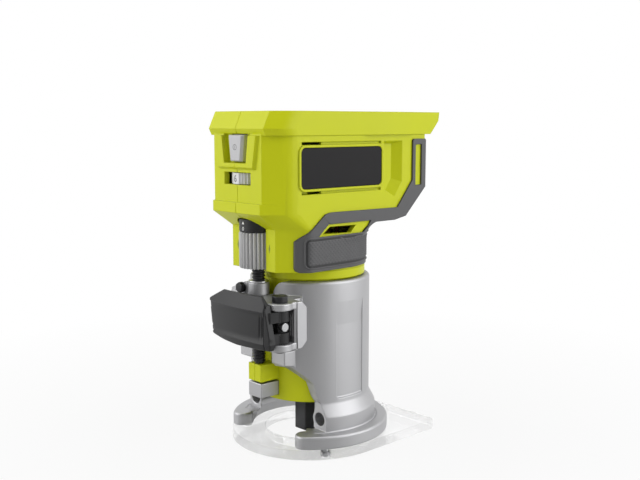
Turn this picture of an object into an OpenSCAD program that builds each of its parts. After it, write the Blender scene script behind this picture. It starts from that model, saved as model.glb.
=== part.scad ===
// Cordless trim router: a round motor unit that slides up and down in a cast base,
// with a clear sub-base, a cam lever clamp, a fine depth screw and a battery socket on top.
// Frame: the spindle axis is Z, the sub-base stands on Z = 0, the front is -Y. Millimetres.

/* [Sub-base] */
// Thickness of the clear sub-base
sub_base_t = 6; // [5:0.5:8]
// Distance from the spindle axis to the straight back edge of the sub-base
sub_base_back = 66; // [58:1:80]
// Radius of the two back corners of the sub-base
sub_base_corner_r = 5; // [2:1:12]
// How far the sub-base stands out past the flange of the base
sub_base_lip = 0.5; // [0:0.1:3]
// Radius of the opening that the bit passes through
bit_opening_r = 28.5; // [22:0.5:30]
// Radius of the sub-base screws
plate_screw_r = 1.5; // [1.2:0.1:2]
// Radius of the heads of the sub-base screws
plate_screw_head_r = 3; // [2.6:0.1:3.6]

/* [Base casting] */
// Height of the top of the barrel above the work
base_h = 104.5; // [98:0.5:112]
// Wall of the barrel
base_wall = 5.2; // [4:0.1:7]
// How far the flange stands out past the barrel
flange_w = 11.8; // [10:0.2:15]
// Thickness of the flange
flange_t = 8; // [6:0.5:10]
// How far the skirt above the flange stands out past the barrel
skirt_w = 3.9; // [3:0.1:6]
// Height of the upright part of the skirt above the flange
skirt_h = 8.7; // [7:0.1:11]
// Height of the slope between the skirt and the barrel
skirt_slope_h = 7.3; // [4:0.1:10]
// Half angle of the gap between the two front feet
foot_angle = 44; // [38:1:50]
// Distance from the spindle axis to the front faces of the two legs
leg_y = 20; // [18:0.5:23]
// Height of the top of the front window above the work
window_top = 52.5; // [48:0.5:56]
// Width of the clamping slit
slit_w = 16; // [15:0.5:19]
// Radius of the rounded corners at the top of the slit
slit_corner_r = 8; // [4:0.5:10]
// Depth of the sunk panels on the outside of the barrel
panel_depth = 0.8; // [0.4:0.1:1.5]
// Half width of a sunk panel, as an angle round the barrel
panel_half_angle = 17; // [10:1:22]

/* [Edge guide rods] */
// Distance of each guide rod bore from the middle
guide_x = 30.5; // [30:0.1:31.5]
// Height of the guide rod bores above the work
guide_z = 20.5; // [20:0.1:21.5]
// Radius of the guide rod bores
guide_bore_r = 4; // [3:0.05:4.2]
// Wall round each guide rod bore
guide_wall = 1.9; // [1.5:0.1:2.2]
// Length of each guide rod bore
guide_bore_l = 14; // [8:1:18]

/* [Clamp] */
// Radius of the clamp bolt
bolt_r = 2.5; // [2:0.1:3]
// Height of the clamp bolt above the bottom of the ears
bolt_rise = 14; // [12:0.5:16]
// Height of the two clamp ears
ear_h = 28; // [26:0.5:32]
// Width of the wall of each ear that the bolt passes through
ear_wall = 12.5; // [9:0.5:14]
// Thickness of the two arms that hold the lever pin
arm_t = 4.2; // [3.5:0.1:5.5]
// Radius of the lever pin
pin_r = 3; // [2.8:0.1:3.5]
// Radius of the cam lobes of the lever
cam_r = 5.8; // [5.4:0.1:7]
// How far the lobes are off centre on their pin
cam_throw = 0.4; // [0.2:0.1:0.8]
// Thickness of the thrust washer under the cam lobes
washer_t = 1.2; // [0.8:0.1:2]
// Thickness of the plate of the lever
lever_t = 4.2; // [3:0.1:6]
// Radius of the bow of the lever's plate
lever_bow_r = 160; // [120:5:250]
// Reach of the lever's plate from its pin
lever_reach = 51.5; // [42:0.5:60]

/* [Depth screw] */
// Radius of the threaded part of the depth screw
screw_r = 4; // [3.5:0.1:4.3]
// Pitch of the depth screw
thread_pitch = 2; // [1:0.25:3]
// Distance of the depth screw in front of the motor tube
screw_stand_off = 9.5; // [9.3:0.1:11]
// Radius of the depth knob
knob_r = 11.4; // [10:0.1:11.8]
// Height of the knurled part of the depth knob
knob_h = 21.5; // [16:0.5:26]
// Height of the zero ring
zero_ring_h = 7.7; // [5:0.1:9]
// Radius of the feed nut
feed_nut_r = 5.1; // [4.9:0.1:5.6]

/* [Motor tube and grip] */
// Radius of the motor tube
tube_r = 32; // [31:0.25:33]
// Wall of the motor tube
tube_wall = 3; // [2:0.25:3.5]
// Height of the lower end of the motor tube above the work, at full depth
tube_bottom = 30; // [29:0.5:33]
// How far the grip stands out past the motor tube
grip_step = 2; // [1.5:0.1:3]
// Height of the shoulder between the base and the grip
shoulder_h = 5; // [3:0.5:7]
// Half width of the column round the depth knob
column_half_w = 20; // [19:0.2:21]
// Thickness of the rubber grips
rubber_t = 1.15; // [0.8:0.05:2]
// Radius of the soft corners between the chamfers and the sides of the neck
neck_corner_r = 6; // [3:0.5:10]
// Radius of the hollow curve between the grip and the head
flare_r = 14; // [10:0.5:16]
// Travel of the spindle lock
lock_travel = 3; // [2.5:0.1:3.5]
// Half width of the lug that carries the lower end of the depth screw
lug_half_w = 5.8; // [5:0.1:6.4]

/* [Head] */
// Half width of the head
head_half_w = 34.2; // [34.1:0.1:36]
// Distance from the spindle axis to the front of the head
head_front = 56.5; // [55.5:0.5:60]
// Radius of the soft corners between the chamfers and the sides of the head
head_corner_r = 14; // [6:1:16]
// Half width of the flat front
front_half_w = 22; // [20:0.5:25]
// Distance from the spindle axis to the back of the head
head_back = 70; // [66:1:80]
// Wall of the head
head_wall = 3; // [2:0.25:3.5]
// Height of the head from its lower band to the battery rim
head_h = 44.6; // [43:0.2:50]
// Height of the battery rim
rim_h = 13.9; // [12:0.1:17]
// How far the battery rim stands out past the back of the head
rim_over = 15; // [13:0.5:18]
// Width of each nameplate panel
plate_w = 66; // [50:1:68]
// Height of each nameplate panel
plate_h = 23.5; // [16:0.5:25]
// Half width of the battery well
well_half_w = 16; // [14:0.5:18]

/* [Controls] */
// Half width of the power button at its top
button_half_w = 7.1; // [6:0.1:8]
// Height of the power button
button_h = 15.4; // [12:0.2:15.6]
// Radius of the speed dial
dial_r = 14.6; // [13.5:0.1:14.8]
// Thickness of the speed dial
dial_t = 6.4; // [5:0.1:7]

/* [Motor] */
// Gap between the motor can and the inside of the motor tube
can_gap = 3; // [2.8:0.1:4.5]
// Wall of the motor can
can_wall = 2; // [1.5:0.1:2.5]
// Length of the motor can
can_h = 54; // [50:0.5:56]
// Thickness of the field magnets
magnet_t = 4.2; // [3:0.1:5]
// Air gap between the magnets and the armature
air_gap = 0.7; // [0.4:0.1:1]
// Number of armature slots
slot_count = 12; // [8:1:14]
// Radius of the spindle in the lower bearing
spindle_r = 5; // [4.5:0.1:5.5]
// Radius of the spindle in the upper bearing
spindle_top_r = 4; // [3.5:0.1:4.2]
// Outer radius of the lower bearing
lower_bearing_r = 13; // [12:0.1:14]
// Outer radius of the upper bearing
upper_bearing_r = 11; // [10:0.1:12]
// Radius of the bore of the collet
collet_bore_r = 3.175; // [3:0.025:3.175]
// Size of the collet nut across its flats
nut_flats = 17; // [17:0.5:19]

/* [Hidden] */
$fn = 96;

// Clearances between pieces
slide_gap = 0.3;
run_gap = 0.05;
part_gap = 0.1;
cut_over = 1;

// Base, from the tube outwards and from the work upwards
bore_r = tube_r + slide_gap;
base_r = bore_r + base_wall;
flange_r = base_r + flange_w;
skirt_r = base_r + skirt_w;
foot_in_r = base_r - 0.5;
flange_top = sub_base_t + flange_t;
skirt_top = flange_top + skirt_h;
barrel_z = skirt_top + skirt_slope_h;
bore_low_z = flange_top + 1;
foot_mid_r = (foot_in_r + flange_r) / 2;
foot_end_r = (flange_r - foot_in_r) / 2;
flange_edge = 1.4;
slit_half = slit_w / 2;
sub_base_r = flange_r + sub_base_lip;
plate_screw_angles = [60, 140, 220, 300];
plate_screw_depth = 6;

// Depth screw line and clamp, from the tube forwards
screw_y = -(tube_r + screw_stand_off);
bolt_y = screw_y - screw_r - bolt_r - 0.8;
ear_top = base_h - slit_corner_r - 0.5;
ear_z = ear_top - ear_h;
bolt_z = ear_z + bolt_rise;
ear_front = bolt_y - 5.2;
washer_x = slit_half + ear_wall;
pin_x = washer_x + washer_t + cam_r + cam_throw + part_gap;
arm_r = pin_r + 4.5;
arm_under = ear_top - arm_t;
arm_over = ear_z + arm_t;
ear_back_y = bolt_y + cam_r + cam_throw + 0.4;
ear_side_y = ear_back_y + 9;
pin_slot = 0.8;
boss_r = feed_nut_r + 1.4;
boss_z = base_h - 11.5;
boss_top = base_h - 1;
feed_screw_head_r = 3.4;
feed_screw_x = -slit_half - 1;
feed_screw_z = ear_top + feed_screw_head_r + 0.2;

// Motor unit, from the base upwards
shoulder_z = base_h + 1;
grip_z = shoulder_z + shoulder_h;
column_z = grip_z + 1.5;
knob_z = column_z + 0.4;
zero_ring_z = knob_z + knob_h + 0.3;
recess_top = zero_ring_z + zero_ring_h + 0.6;
recess_r = knob_r + 0.6;
column_front = screw_y - 3.5;
band_z = recess_top + 3.5;
band_h = 6;
band_top = band_z + band_h;
band_out = 1.5;
back_corner = 1.2;
head_corner_y = head_half_w - front_half_w - head_front + head_corner_r * (sqrt(2) - 1);
rim_half_w = head_half_w + 0.8;
rim_corner_r = head_corner_r + 2;
rim_chamfer = 9.6;
slope_low_z = band_z - 9.6;
neck_low_z = column_z - 0.5;
rim_z = band_z + head_h;
rim_edge_z = rim_z + 3.9;
rim_top = rim_z + rim_h;
grip_r = tube_r + grip_step;
neck_corner_y = grip_r - column_half_w + column_front + neck_corner_r * (sqrt(2) - 1);
flare_z = band_z - 20;
overhang_z = flare_z + 11.5;
lug_z = tube_bottom + 13;
lug_h = 10.5;
lug_front = screw_y - 3.5;
lock_z = tube_bottom + 3;
lock_top = lug_z - 1.1;
lock_half_w = lug_half_w + 0.3;
lock_seat = tube_r - 2.5;
lock_lip = 1.2;
lock_lip_t = 1.5;
lock_pin_r = 1.4;
lock_pin_z = lock_z + 1.6;

// Inside of the housing
tube_in_r = tube_r - tube_wall;
neck_in_r = grip_r - head_wall;
floor_z = tube_bottom + 14;
front_in = head_front - head_wall - 0.5;
side_in = head_half_w - head_wall;
head_in_top = rim_z + 1.4;
socket_floor = rim_z + 3.9;
well_wall = 2;
well_front = -25;
well_back = 23;
well_z = band_z + 2;
boss_wall = 2;
rail_z = [tube_bottom + 30, tube_bottom + 74];
rail_h = 4;

// Motor stack, from the lower end of the tube upwards
bearing_z = tube_bottom + 7.4;
bearing_h = 8;
fan_z = tube_bottom + 16;
fan_h = 10;
can_z = tube_bottom + 28;
can_top = can_z + can_h;
can_r = tube_in_r - can_gap;
magnet_r = can_r - can_wall - part_gap;
core_r = magnet_r - magnet_t - air_gap;
core_z = can_z + 10;
core_h = can_h - 20;
slot_depth = 8;
slot_half = 2;
commutator_r = 9;
commutator_h = 12;
brush_plate_z = can_top + 14;
brush_plate_t = 3;
brush_plate_r = 26.8;
upper_bearing_z = brush_plate_z + brush_plate_t;
upper_bearing_h = 7;
nose_r = 8;
nut_top = tube_bottom - 3;
nut_h = 23;
nut_z = nut_top - nut_h;
collet_z = nut_z + 0.6;
collet_seat_z = collet_z + 7.2;
collet_top = nut_top;

// Controls
button_top = rim_z + 0.4;
button_z = button_top - button_h;
button_front = head_front + 1.7;
button_floor = head_front - 2.2;
button_stem_end = front_in - 4.8;
button_lip = 0.8;
bezel_out = 1.9;
button_chamfer = 1.5;
dial_y = -(head_front + 0.1) + dial_r;
dial_z = band_top + 10.6;
dial_window_half_w = 12.2;
board_y = -32.6;
board_t = 1.6;
board_half_w = 24;
board_z = band_top + 0.4;
board_h = 36;
switch_face = button_stem_end - 1.6;

// Side panels
plate_y = -38;
plate_z = band_top + 8.2;
plate_t = 1;
plate_frame_w = 1.5;
plate_frame_out = 0.9;
pocket_depth = 4.4;
pocket_end = plate_y + plate_w + 19.4;

// Housing screws as [Y, Z], each running along X
screw_spots = [[-38, band_top - 1.5], [50, rim_z - 9], [36, band_top - 2]];
case_screw_r = 1.5;
case_screw_head_r = 2.8;
case_boss_r = 4;
lug_screw_y = screw_y + 5.4;
lug_screw_z = lug_z + lug_h / 2;

// Points along an arc
function arc(cx, cy, r, a0, a1, n) =
    [for (i = [0:n]) let (a = a0 + (a1 - a0) * i / n) [cx + r * cos(a), cy + r * sin(a)]];

// Outline of a rectangle from low corner to high corner with round corners
function round_box(x0, y0, x1, y1, r) = concat(
    arc(x0 + r, y0 + r, r, 180, 270, 6), arc(x1 - r, y0 + r, r, 270, 360, 6),
    arc(x1 - r, y1 - r, r, 0, 90, 6), arc(x0 + r, y1 - r, r, 90, 180, 6));

// A point round the spindle axis, at an angle from the front
function around(r, a) = [r * sin(a), -r * cos(a)];

// Half of an outline and its mirror image, for outlines that are the same on both sides
function both_sides(half) = concat(half,
    [for (i = [len(half) - 1:-1:0]) [-half[i][0], half[i][1]]]);

module ring(r_out, r_in, z0, z1) {
    translate([0, 0, z0]) difference() {
        cylinder(r = r_out, h = z1 - z0);
        translate([0, 0, -cut_over]) cylinder(r = r_in, h = z1 - z0 + 2 * cut_over);
    }
}

// Upright round bar
module post(x, y, r, z0, z1) {
    translate([x, y, z0]) cylinder(r = r, h = z1 - z0);
}

// Round bar along X
module bar_x(y, z, r, x0, x1) {
    translate([x0, y, z]) rotate([0, 90, 0]) cylinder(r = r, h = x1 - x0);
}

// Round bar along Y
module bar_y(x, z, r, y0, y1) {
    translate([x, y1, z]) rotate([90, 0, 0]) cylinder(r = r, h = y1 - y0);
}

// Outline in Y and Z, drawn out along X
module prism_x(points, x0, x1) {
    translate([x0, 0, 0]) rotate([90, 0, 90]) linear_extrude(x1 - x0) polygon(points);
}

// Outline in X and Z, drawn out along Y
module prism_y(points, y0, y1) {
    translate([0, y1, 0]) rotate([90, 0, 0]) linear_extrude(y1 - y0) polygon(points);
}

// Outline in X and Y, drawn out along Z
module prism_z(points, z0, z1) {
    translate([0, 0, z0]) linear_extrude(z1 - z0) polygon(points);
}

module box(low, high) {
    translate(low) cube(high - low);
}

// Everything on one side of the parting plane: side is 1 for the right and -1 for the left
module half_space(side) {
    reach = 200;
    translate([side > 0 ? 0 : -reach, -reach, -cut_over]) cube([reach, 2 * reach, 2 * reach]);
}

// Sub-base

module sub_base_outline() {
    x = sub_base_r;
    r = sub_base_corner_r;
    polygon(concat(arc(0, 0, x, 180, 360, 72),
        arc(x - r, sub_base_back - r, r, 0, 90, 6), arc(r - x, sub_base_back - r, r, 90, 180, 6)));
}

module at_plate_screws() {
    for (a = plate_screw_angles) translate(around(foot_mid_r, a)) children();
}

module sub_base() {
    color("white", 0.4) difference() {
        linear_extrude(sub_base_t) sub_base_outline();
        translate([0, 0, -cut_over]) cylinder(r = bit_opening_r, h = sub_base_t + 2 * cut_over);
        at_plate_screws() {
            translate([0, 0, -cut_over])
                cylinder(r = plate_screw_r + part_gap, h = sub_base_t + 2 * cut_over);
            translate([0, 0, -cut_over])
                cylinder(r = plate_screw_head_r + part_gap, h = 2 * plate_screw_r + cut_over);
        }
    }
}

module sub_base_screws() {
    color("dimgray") at_plate_screws() {
        translate([0, 0, 0.4]) difference() {
            cylinder(r = plate_screw_head_r, h = 2 * plate_screw_r - 0.4);
            translate([0, 0, -cut_over]) cylinder(r = plate_screw_r, h = cut_over + 1, $fn = 6);
        }
        translate([0, 0, 2 * plate_screw_r])
            cylinder(r = plate_screw_r, h = sub_base_t - 2 * plate_screw_r + plate_screw_depth - 0.5);
    }
}

// Base casting

module base_turning() {
    groove = 0.7;
    rotate_extrude() polygon(concat(
        [[bore_r, base_h], [bore_r, bore_low_z], [foot_in_r, sub_base_t], [flange_r, sub_base_t]],
        arc(flange_r - flange_edge, flange_top - flange_edge, flange_edge, 0, 90, 4),
        [[skirt_r + 2 * groove, flange_top], [skirt_r + groove, flange_top - groove],
         [skirt_r, flange_top], [skirt_r, skirt_top], [base_r, barrel_z],
         [base_r, base_h - 1], [base_r - 1, base_h]]));
}

// The front window between the two legs, as seen from the side
module front_window() {
    far = -2 * flange_r;
    prism_x([[far, flange_top], [-leg_y, flange_top], [-leg_y, window_top - 21.5],
        [-leg_y - 1.5, window_top - 18.5], [-leg_y - 3.6, window_top - 9.5],
        [-base_r + 5.4, window_top], [far, window_top]], -2 * flange_r, 2 * flange_r);
}

module foot_gap() {
    reach = 2 * flange_r;
    prism_z([[0, 0], around(reach, foot_angle), [0, -2 * reach], around(reach, -foot_angle)],
        sub_base_t - cut_over, flange_top + cut_over);
}

// Rounded end of the flange at each front foot
module foot_end() {
    rotate_extrude() polygon(concat([[0, sub_base_t], [foot_end_r, sub_base_t]],
        arc(foot_end_r - flange_edge, flange_top - flange_edge, flange_edge, 0, 90, 4), [[0, flange_top]]));
}

module clamp_slit() {
    prism_y(both_sides(concat([[slit_half, window_top - 5]],
        arc(slit_half + slit_corner_r, base_h - slit_corner_r, slit_corner_r, 180, 90, 8),
        [[slit_half + slit_corner_r, base_h + cut_over]])), -2 * flange_r, 0);
}

// One sunk panel on the outside of the barrel, at an angle from the front
module sunk_panel(a) {
    reach = 2 * base_r;
    intersection() {
        ring(base_r + cut_over, base_r - panel_depth, barrel_z + 3, base_h - 12.5);
        prism_z([[0, 0], around(reach, a - panel_half_angle), around(reach, a + panel_half_angle)],
            0, base_h);
    }
}

// Ear beside the slit; the near one has a wing behind the cam, the far one stops above the lever's edge
module ear_root(side) {
    root = base_r * sin(45);
    chamfer = 1.5;
    out = side > 0 ? pin_x + 6.5 : washer_x + 2;
    low = side > 0 ? ear_z : ear_z + 7;
    mirror([side > 0 ? 0 : 1, 0, 0]) {
        prism_z([[slit_half, -tube_r + 2], [slit_half, ear_front], [washer_x, ear_front],
            [washer_x, ear_back_y], [out - chamfer, ear_back_y], [out, ear_back_y + chamfer],
            [out, ear_side_y], [min(out, root + 0.5), ear_side_y + 0.7], [root - 2, -root - 1.9],
            [root - 4, -root + 2]], low, ear_top);
        // Pad under the ear
        box([slit_half + 1, -base_r - 2, window_top + 2],
            [slit_half + 13, -bore_r + 4, window_top + 11]);
    }
}

// Cut corners at the back edge of the wing
module wing_corners() {
    cut_y = 4;
    for (z = [[ear_top, -cut_y], [ear_z, cut_y]])
        prism_x([[ear_side_y - cut_y, z[0]], [ear_side_y + 2, z[0] + z[1] * 1.5], [ear_side_y + 2, z[0]]],
            base_r * sin(45) + 0.6, pin_x + 7);
}

// Upper and lower arm that hold the lever pin
module lever_arms() {
    for (z = [ear_z, arm_under]) {
        box([slit_half, bolt_y - arm_r, z], [pin_x, bolt_y + arm_r, z + arm_t]);
        post(pin_x, bolt_y, arm_r, z, z + arm_t);
        box([pin_x - 1, bolt_y, z], [pin_x + 6, ear_back_y + 2, z + arm_t]);
    }
}

// Two upright grooves in the cheek behind the cam
module cheek_grooves() {
    groove = 0.9;
    for (x = [pin_x + 1.4, pin_x + 3.1])
        box([x, ear_back_y - cut_over, arm_over + 3], [x + groove, ear_back_y + groove, arm_under - 3]);
}

// Bracket on the far ear that holds the feed nut in front of the slit
module feed_bracket() {
    post(0, screw_y, boss_r, boss_z, boss_top);
    prism_y([[-washer_x, ear_top - 1], [-washer_x, ear_top + 2], [-boss_r, boss_top],
        [-boss_r + 3, boss_top], [-boss_r + 3, boss_z], [-slit_half, boss_z], [-slit_half, ear_top - 1]],
        screw_y - 5, screw_y + 4.5);
}

module base_casting() {
    color("darkgray") difference() {
        union() {
            difference() {
                base_turning();
                front_window();
                foot_gap();
                clamp_slit();
                for (a = [-90, 90, 180]) sunk_panel(a);
            }
            for (a = [-foot_angle, foot_angle]) translate(around(foot_mid_r, a)) foot_end();
            for (s = [-1, 1]) {
                bar_y(s * guide_x, guide_z, guide_bore_r + guide_wall, -leg_y, -leg_y + guide_bore_l);
                ear_root(s);
            }
            lever_arms();
            feed_bracket();
        }
        post(0, 0, bore_r, guide_z + guide_bore_r + guide_wall, base_h + cut_over);
        for (s = [-1, 1])
            bar_y(s * guide_x, guide_z, guide_bore_r, -leg_y - cut_over,
                -leg_y + guide_bore_l + cut_over);
        bar_x(bolt_y, bolt_z, bolt_r + 0.2, -pin_x, pin_x);
        cheek_grooves();
        wing_corners();
        for (x = [-pin_slot, pin_slot]) post(pin_x + x, bolt_y, pin_r + run_gap, 0, base_h);
        box([pin_x - pin_slot, bolt_y - pin_r - run_gap, 0],
            [pin_x + pin_slot, bolt_y + pin_r + run_gap, base_h]);
        post(0, screw_y, feed_nut_r, boss_z - cut_over, boss_top + cut_over);
        bar_y(feed_screw_x, feed_screw_z, case_screw_r, screw_y - 6, screw_y);
        at_plate_screws() cylinder(r = plate_screw_r + part_gap, h = sub_base_t + plate_screw_depth);
    }
}

module feed_nut() {
    color("silver") {
        ring_at_screw(feed_nut_r - run_gap, screw_r + run_gap, boss_z - 0.5, boss_top);
        ring_at_screw(feed_nut_r + 1, screw_r + run_gap, boss_top, boss_top + 1);
    }
}

module ring_at_screw(r_out, r_in, z0, z1) {
    translate([0, screw_y, 0]) ring(r_out, r_in, z0, z1);
}

module feed_nut_screw() {
    head_y = screw_y - 5;
    color([0.12, 0.12, 0.13]) {
        translate([feed_screw_x, head_y, feed_screw_z]) rotate([90, 30, 0])
            cylinder(r = feed_screw_head_r, h = 3.2, $fn = 6);
        bar_y(feed_screw_x, feed_screw_z, case_screw_r - run_gap, head_y, screw_y - 0.5);
    }
}

// Clamp

module clamp_bolt() {
    head_x = -washer_x;
    color("silver") {
        bar_x(bolt_y, bolt_z, bolt_r, head_x, pin_x + 5);
        translate([head_x - 4, bolt_y, bolt_z]) rotate([0, 90, 0])
            cylinder(r = 1.85 * bolt_r, h = 4, $fn = 6);
    }
}

module lever_pin() {
    color([0.1, 0.1, 0.11]) difference() {
        union() {
            post(pin_x, bolt_y, pin_r, ear_z - 1.5, ear_top);
            post(pin_x, bolt_y, pin_r + 1.6, ear_top, ear_top + 4);
        }
        bar_x(bolt_y, bolt_z, bolt_r + run_gap, 0, 2 * pin_x);
    }
}

module thrust_washer() {
    color("dimgray") difference() {
        box([washer_x, bolt_y - 5, arm_over + 0.5],
            [washer_x + washer_t, bolt_y + 6, arm_under - 0.5]);
        bar_x(bolt_y, bolt_z, bolt_r + 0.2, 0, 2 * pin_x);
    }
}

// Outline of the lever's plate as seen from the front
function lever_outline() = let (left = pin_x - lever_reach, right = pin_x + 6) [
    [left, ear_top - 2.8], [left + 13.5, ear_top + 3.8], [right - 9, ear_top + 4.2],
    [right - 4.4, ear_top - 0.8], [right, ear_z + 5.5], [right - 1.5, ear_z + 1.6], [left + 28, ear_z + 1],
    [left + 15, ear_z + 2], [left + 4, ear_z + 3.7]];

module clamp_lever() {
    plate_in = bolt_y - arm_r - 3;
    bow_x = pin_x - 23;
    lobe_gap = bolt_r + 0.8;
    lobe_low = arm_over + 0.4;
    lobe_high = arm_under - 0.4;
    color([0.13, 0.13, 0.14]) difference() {
        union() {
            intersection() {
                translate([bow_x, plate_in + lever_bow_r, 0])
                    ring(lever_bow_r + lever_t, lever_bow_r, 0, base_h);
                prism_y(lever_outline(), plate_in - lever_t - 5, plate_in + 10);
            }
            for (span = [[lobe_low, bolt_z - lobe_gap], [bolt_z + lobe_gap, lobe_high]]) {
                post(pin_x - cam_throw, bolt_y, cam_r, span[0], span[1]);
                box([pin_x - 4, plate_in, span[0]], [pin_x + 4, bolt_y, span[1]]);
            }
        }
        post(pin_x, bolt_y, pin_r + run_gap, 0, base_h);
    }
}

// Housing

// Outline of the head from above, with the front standing out by a given amount
function head_plan(out) = both_sides(concat([[front_half_w, -head_front - out]],
    arc(head_half_w - head_corner_r, head_corner_y, head_corner_r, -45, 0, 6),
    [[head_half_w, head_back - back_corner], [head_half_w - back_corner, head_back]]));

// Outline of the back part of the head from above, grown sideways
function back_plan(grow) = both_sides([[head_half_w + grow, -head_front],
    [head_half_w + grow, head_back - back_corner], [head_half_w + grow - back_corner, head_back]]);

// Outline of the back of the head from the side, from the rim down to the neck
function back_profile() = [[head_back, rim_z + 1], [head_back, band_top + 5.3],
    [head_back - 19.5, overhang_z + 1.9], [head_back - 30, overhang_z]];

// Outline of the front of the neck from above, grown outwards: the column round the depth knob,
// two chamfers and two flat sides
function neck_plan(grow) = both_sides(concat([[column_half_w + sqrt(2) * grow, column_front]],
    arc(grip_r - neck_corner_r, neck_corner_y, neck_corner_r + grow, -45, 0, 4), [[grip_r + grow, 0]]));

// Outline of the front of the head where the slope from the neck meets it, grown outwards
function slope_plan(grow) = both_sides(concat(
    [[front_half_w + sqrt(2) * grow, -head_front - band_out]],
    arc(head_half_w - head_corner_r, head_corner_y, head_corner_r + grow, -45, 0, 6),
    [[head_half_w + grow, 0]]));

module plan_slice(points, z) {
    translate([0, 0, z]) linear_extrude(0.01) polygon(points);
}

// Front of the neck with the slope up to the head
module front_neck(grow) {
    prism_z(neck_plan(grow), neck_low_z, slope_low_z);
    hull() {
        plan_slice(neck_plan(grow), slope_low_z - 0.01);
        plan_slice(slope_plan(grow), band_z);
    }
}

// Neck: chamfered in front, round behind, with the hollow flare that carries the back of the head
module neck(grow) {
    front_neck(grow);
    post(0, 0, grip_r + grow, grip_z, flare_z + 1);
    intersection() {
        rotate_extrude() polygon(concat([[0, flare_z]],
            arc(grip_r + flare_r, flare_z, flare_r - grow, 180, 100, 10), [[0, flare_z + flare_r]]));
        box([-head_half_w - grow, -2 * grip_r, 0], [head_half_w + grow, 2 * grip_r, rim_z]);
    }
    intersection() {
        prism_x(concat(back_profile(), [[-14, overhang_z], [-24, band_z], [-24, rim_z + 1]]),
            -head_half_w - grow, head_half_w + grow);
        prism_z(back_plan(grow), 0, rim_top);
    }
}

function rim_plan(front, back) = both_sides(concat([[rim_half_w - rim_chamfer, front]],
    arc(rim_half_w - rim_corner_r, front + rim_chamfer + rim_corner_r * (sqrt(2) - 1),
        rim_corner_r, -45, 0, 6),
    [[rim_half_w, back - 3], [rim_half_w - 3, back]]));

// One level of the rim, with the reach of its front and back past the head
module rim_slice(front, back, z) {
    plan_slice(rim_plan(-head_front - front, head_back + back), z);
}

module battery_rim() {
    hull() {
        rim_slice(-0.6, rim_over - 8.5, rim_z);
        rim_slice(1.3, rim_over - 4.8, rim_edge_z);
    }
    hull() {
        rim_slice(1.3, rim_over - 4.8, rim_edge_z);
        rim_slice(-0.8, rim_over - 0.8, rim_edge_z + 4.5);
    }
    hull() {
        rim_slice(-0.8, rim_over - 0.8, rim_edge_z + 4.5);
        rim_slice(-3.6, rim_over, rim_top - 0.01);
    }
    pad_y = 18;
    for (s = [0, 1]) mirror([s, 0, 0])
        prism_z([[0, pad_y - 7], [head_half_w, pad_y - 7], [head_half_w + 2.6, pad_y],
            [head_half_w + 2.6, pad_y + 37], [head_half_w, pad_y + 40], [0, pad_y + 40]], rim_z, rim_top);
}

// Raised frame with sloping sides round the power button
module button_bezel() {
    hull() {
        prism_y(both_sides([[17, button_z - 4.4], [20.4, rim_z]]), -head_front, -head_front + 0.01);
        prism_y(both_sides([[16, button_z - 3.2], [19.2, rim_z]]),
            -head_front - bezel_out, -head_front - bezel_out + 0.01);
    }
}

// Raised frames round the two side panels
module plate_frames() {
    low = [plate_y - plate_frame_w, plate_z - plate_frame_w];
    high = [plate_y + plate_w + plate_frame_w, plate_z + plate_h + plate_frame_w];
    reach = head_half_w + plate_frame_out;
    prism_x(round_box(low[0], low[1], high[0], high[1], 3 + plate_frame_w), -reach, reach);
}

module housing_outside() {
    post(0, 0, tube_r, tube_bottom, grip_z + cut_over);
    post(0, 0, grip_r + 0.4, shoulder_z, grip_z);
    neck(0);
    intersection() {
        prism_z(head_plan(0), band_z, rim_z + 1);
        prism_x(concat(back_profile(), [[-2 * head_front, overhang_z], [-2 * head_front, rim_z + 1]]),
            -head_half_w, head_half_w);
    }
    intersection() {
        prism_z(head_plan(band_out), band_z, band_top);
        box([-head_half_w, -2 * head_front, 0], [head_half_w, 0, rim_top]);
    }
    battery_rim();
    button_bezel();
    plate_frames();
    box([-lug_half_w, lug_front, lug_z], [lug_half_w, -tube_r + 4, lug_z + lug_h]);
}

// What is left standing inside the hollow of the housing
module housing_inside_ribs() {
    post(0, screw_y, recess_r + boss_wall, grip_z, band_z + 3);
    box([-well_half_w - well_wall, well_front - well_wall, band_z],
        [well_half_w + well_wall, well_back + well_wall, rim_top]);
    for (s = [0, 1]) mirror([s, 0, 0])
        box([head_half_w - pocket_depth - 2, plate_y + plate_w - 1, plate_z - 10],
            [head_half_w, pocket_end + 2, plate_z + plate_h + 5]);
    for (z = rail_z) ring(tube_r, can_r + 0.15, z, z + rail_h);
    for (z = [brush_plate_z - 2.6, upper_bearing_z + part_gap])
        ring(grip_r, brush_plate_r - 2.4, z, z + 2.5);
    ring(grip_r, brush_plate_r + part_gap, brush_plate_z - 2, upper_bearing_z + 1);
    for (spot = screw_spots) bar_x(spot[0], spot[1], case_boss_r, -head_half_w, head_half_w);
    for (s = [0, 1]) mirror([s, 0, 0]) difference() {
        box([board_half_w - 2, board_y - 1.6, band_z], [head_half_w, board_y + board_t + 1.6, band_top + 9]);
        box([0, board_y - part_gap, board_z - part_gap],
            [board_half_w + part_gap, board_y + board_t + part_gap, rim_z]);
    }
}

module housing_hollow() {
    difference() {
        union() {
            post(0, 0, tube_in_r, floor_z, grip_z + 2.5);
            post(0, 0, neck_in_r, grip_z + 2.5, band_z + 3);
            intersection() {
                box([-side_in, -front_in, band_z + 2.5], [side_in, head_back - head_wall, head_in_top]);
                prism_z(both_sides([[front_half_w - 1, -front_in], [side_in, -front_in + 12.5],
                    [side_in, head_back - 6], [side_in - 3, head_back - head_wall]]), band_z, rim_top);
                prism_x([[-head_front, band_z], [head_back - 17, band_z], [head_back - 3, band_top + 7],
                    [head_back - 3, rim_top], [-head_front, rim_top]], -head_half_w, head_half_w);
            }
        }
        housing_inside_ribs();
    }
}

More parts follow.
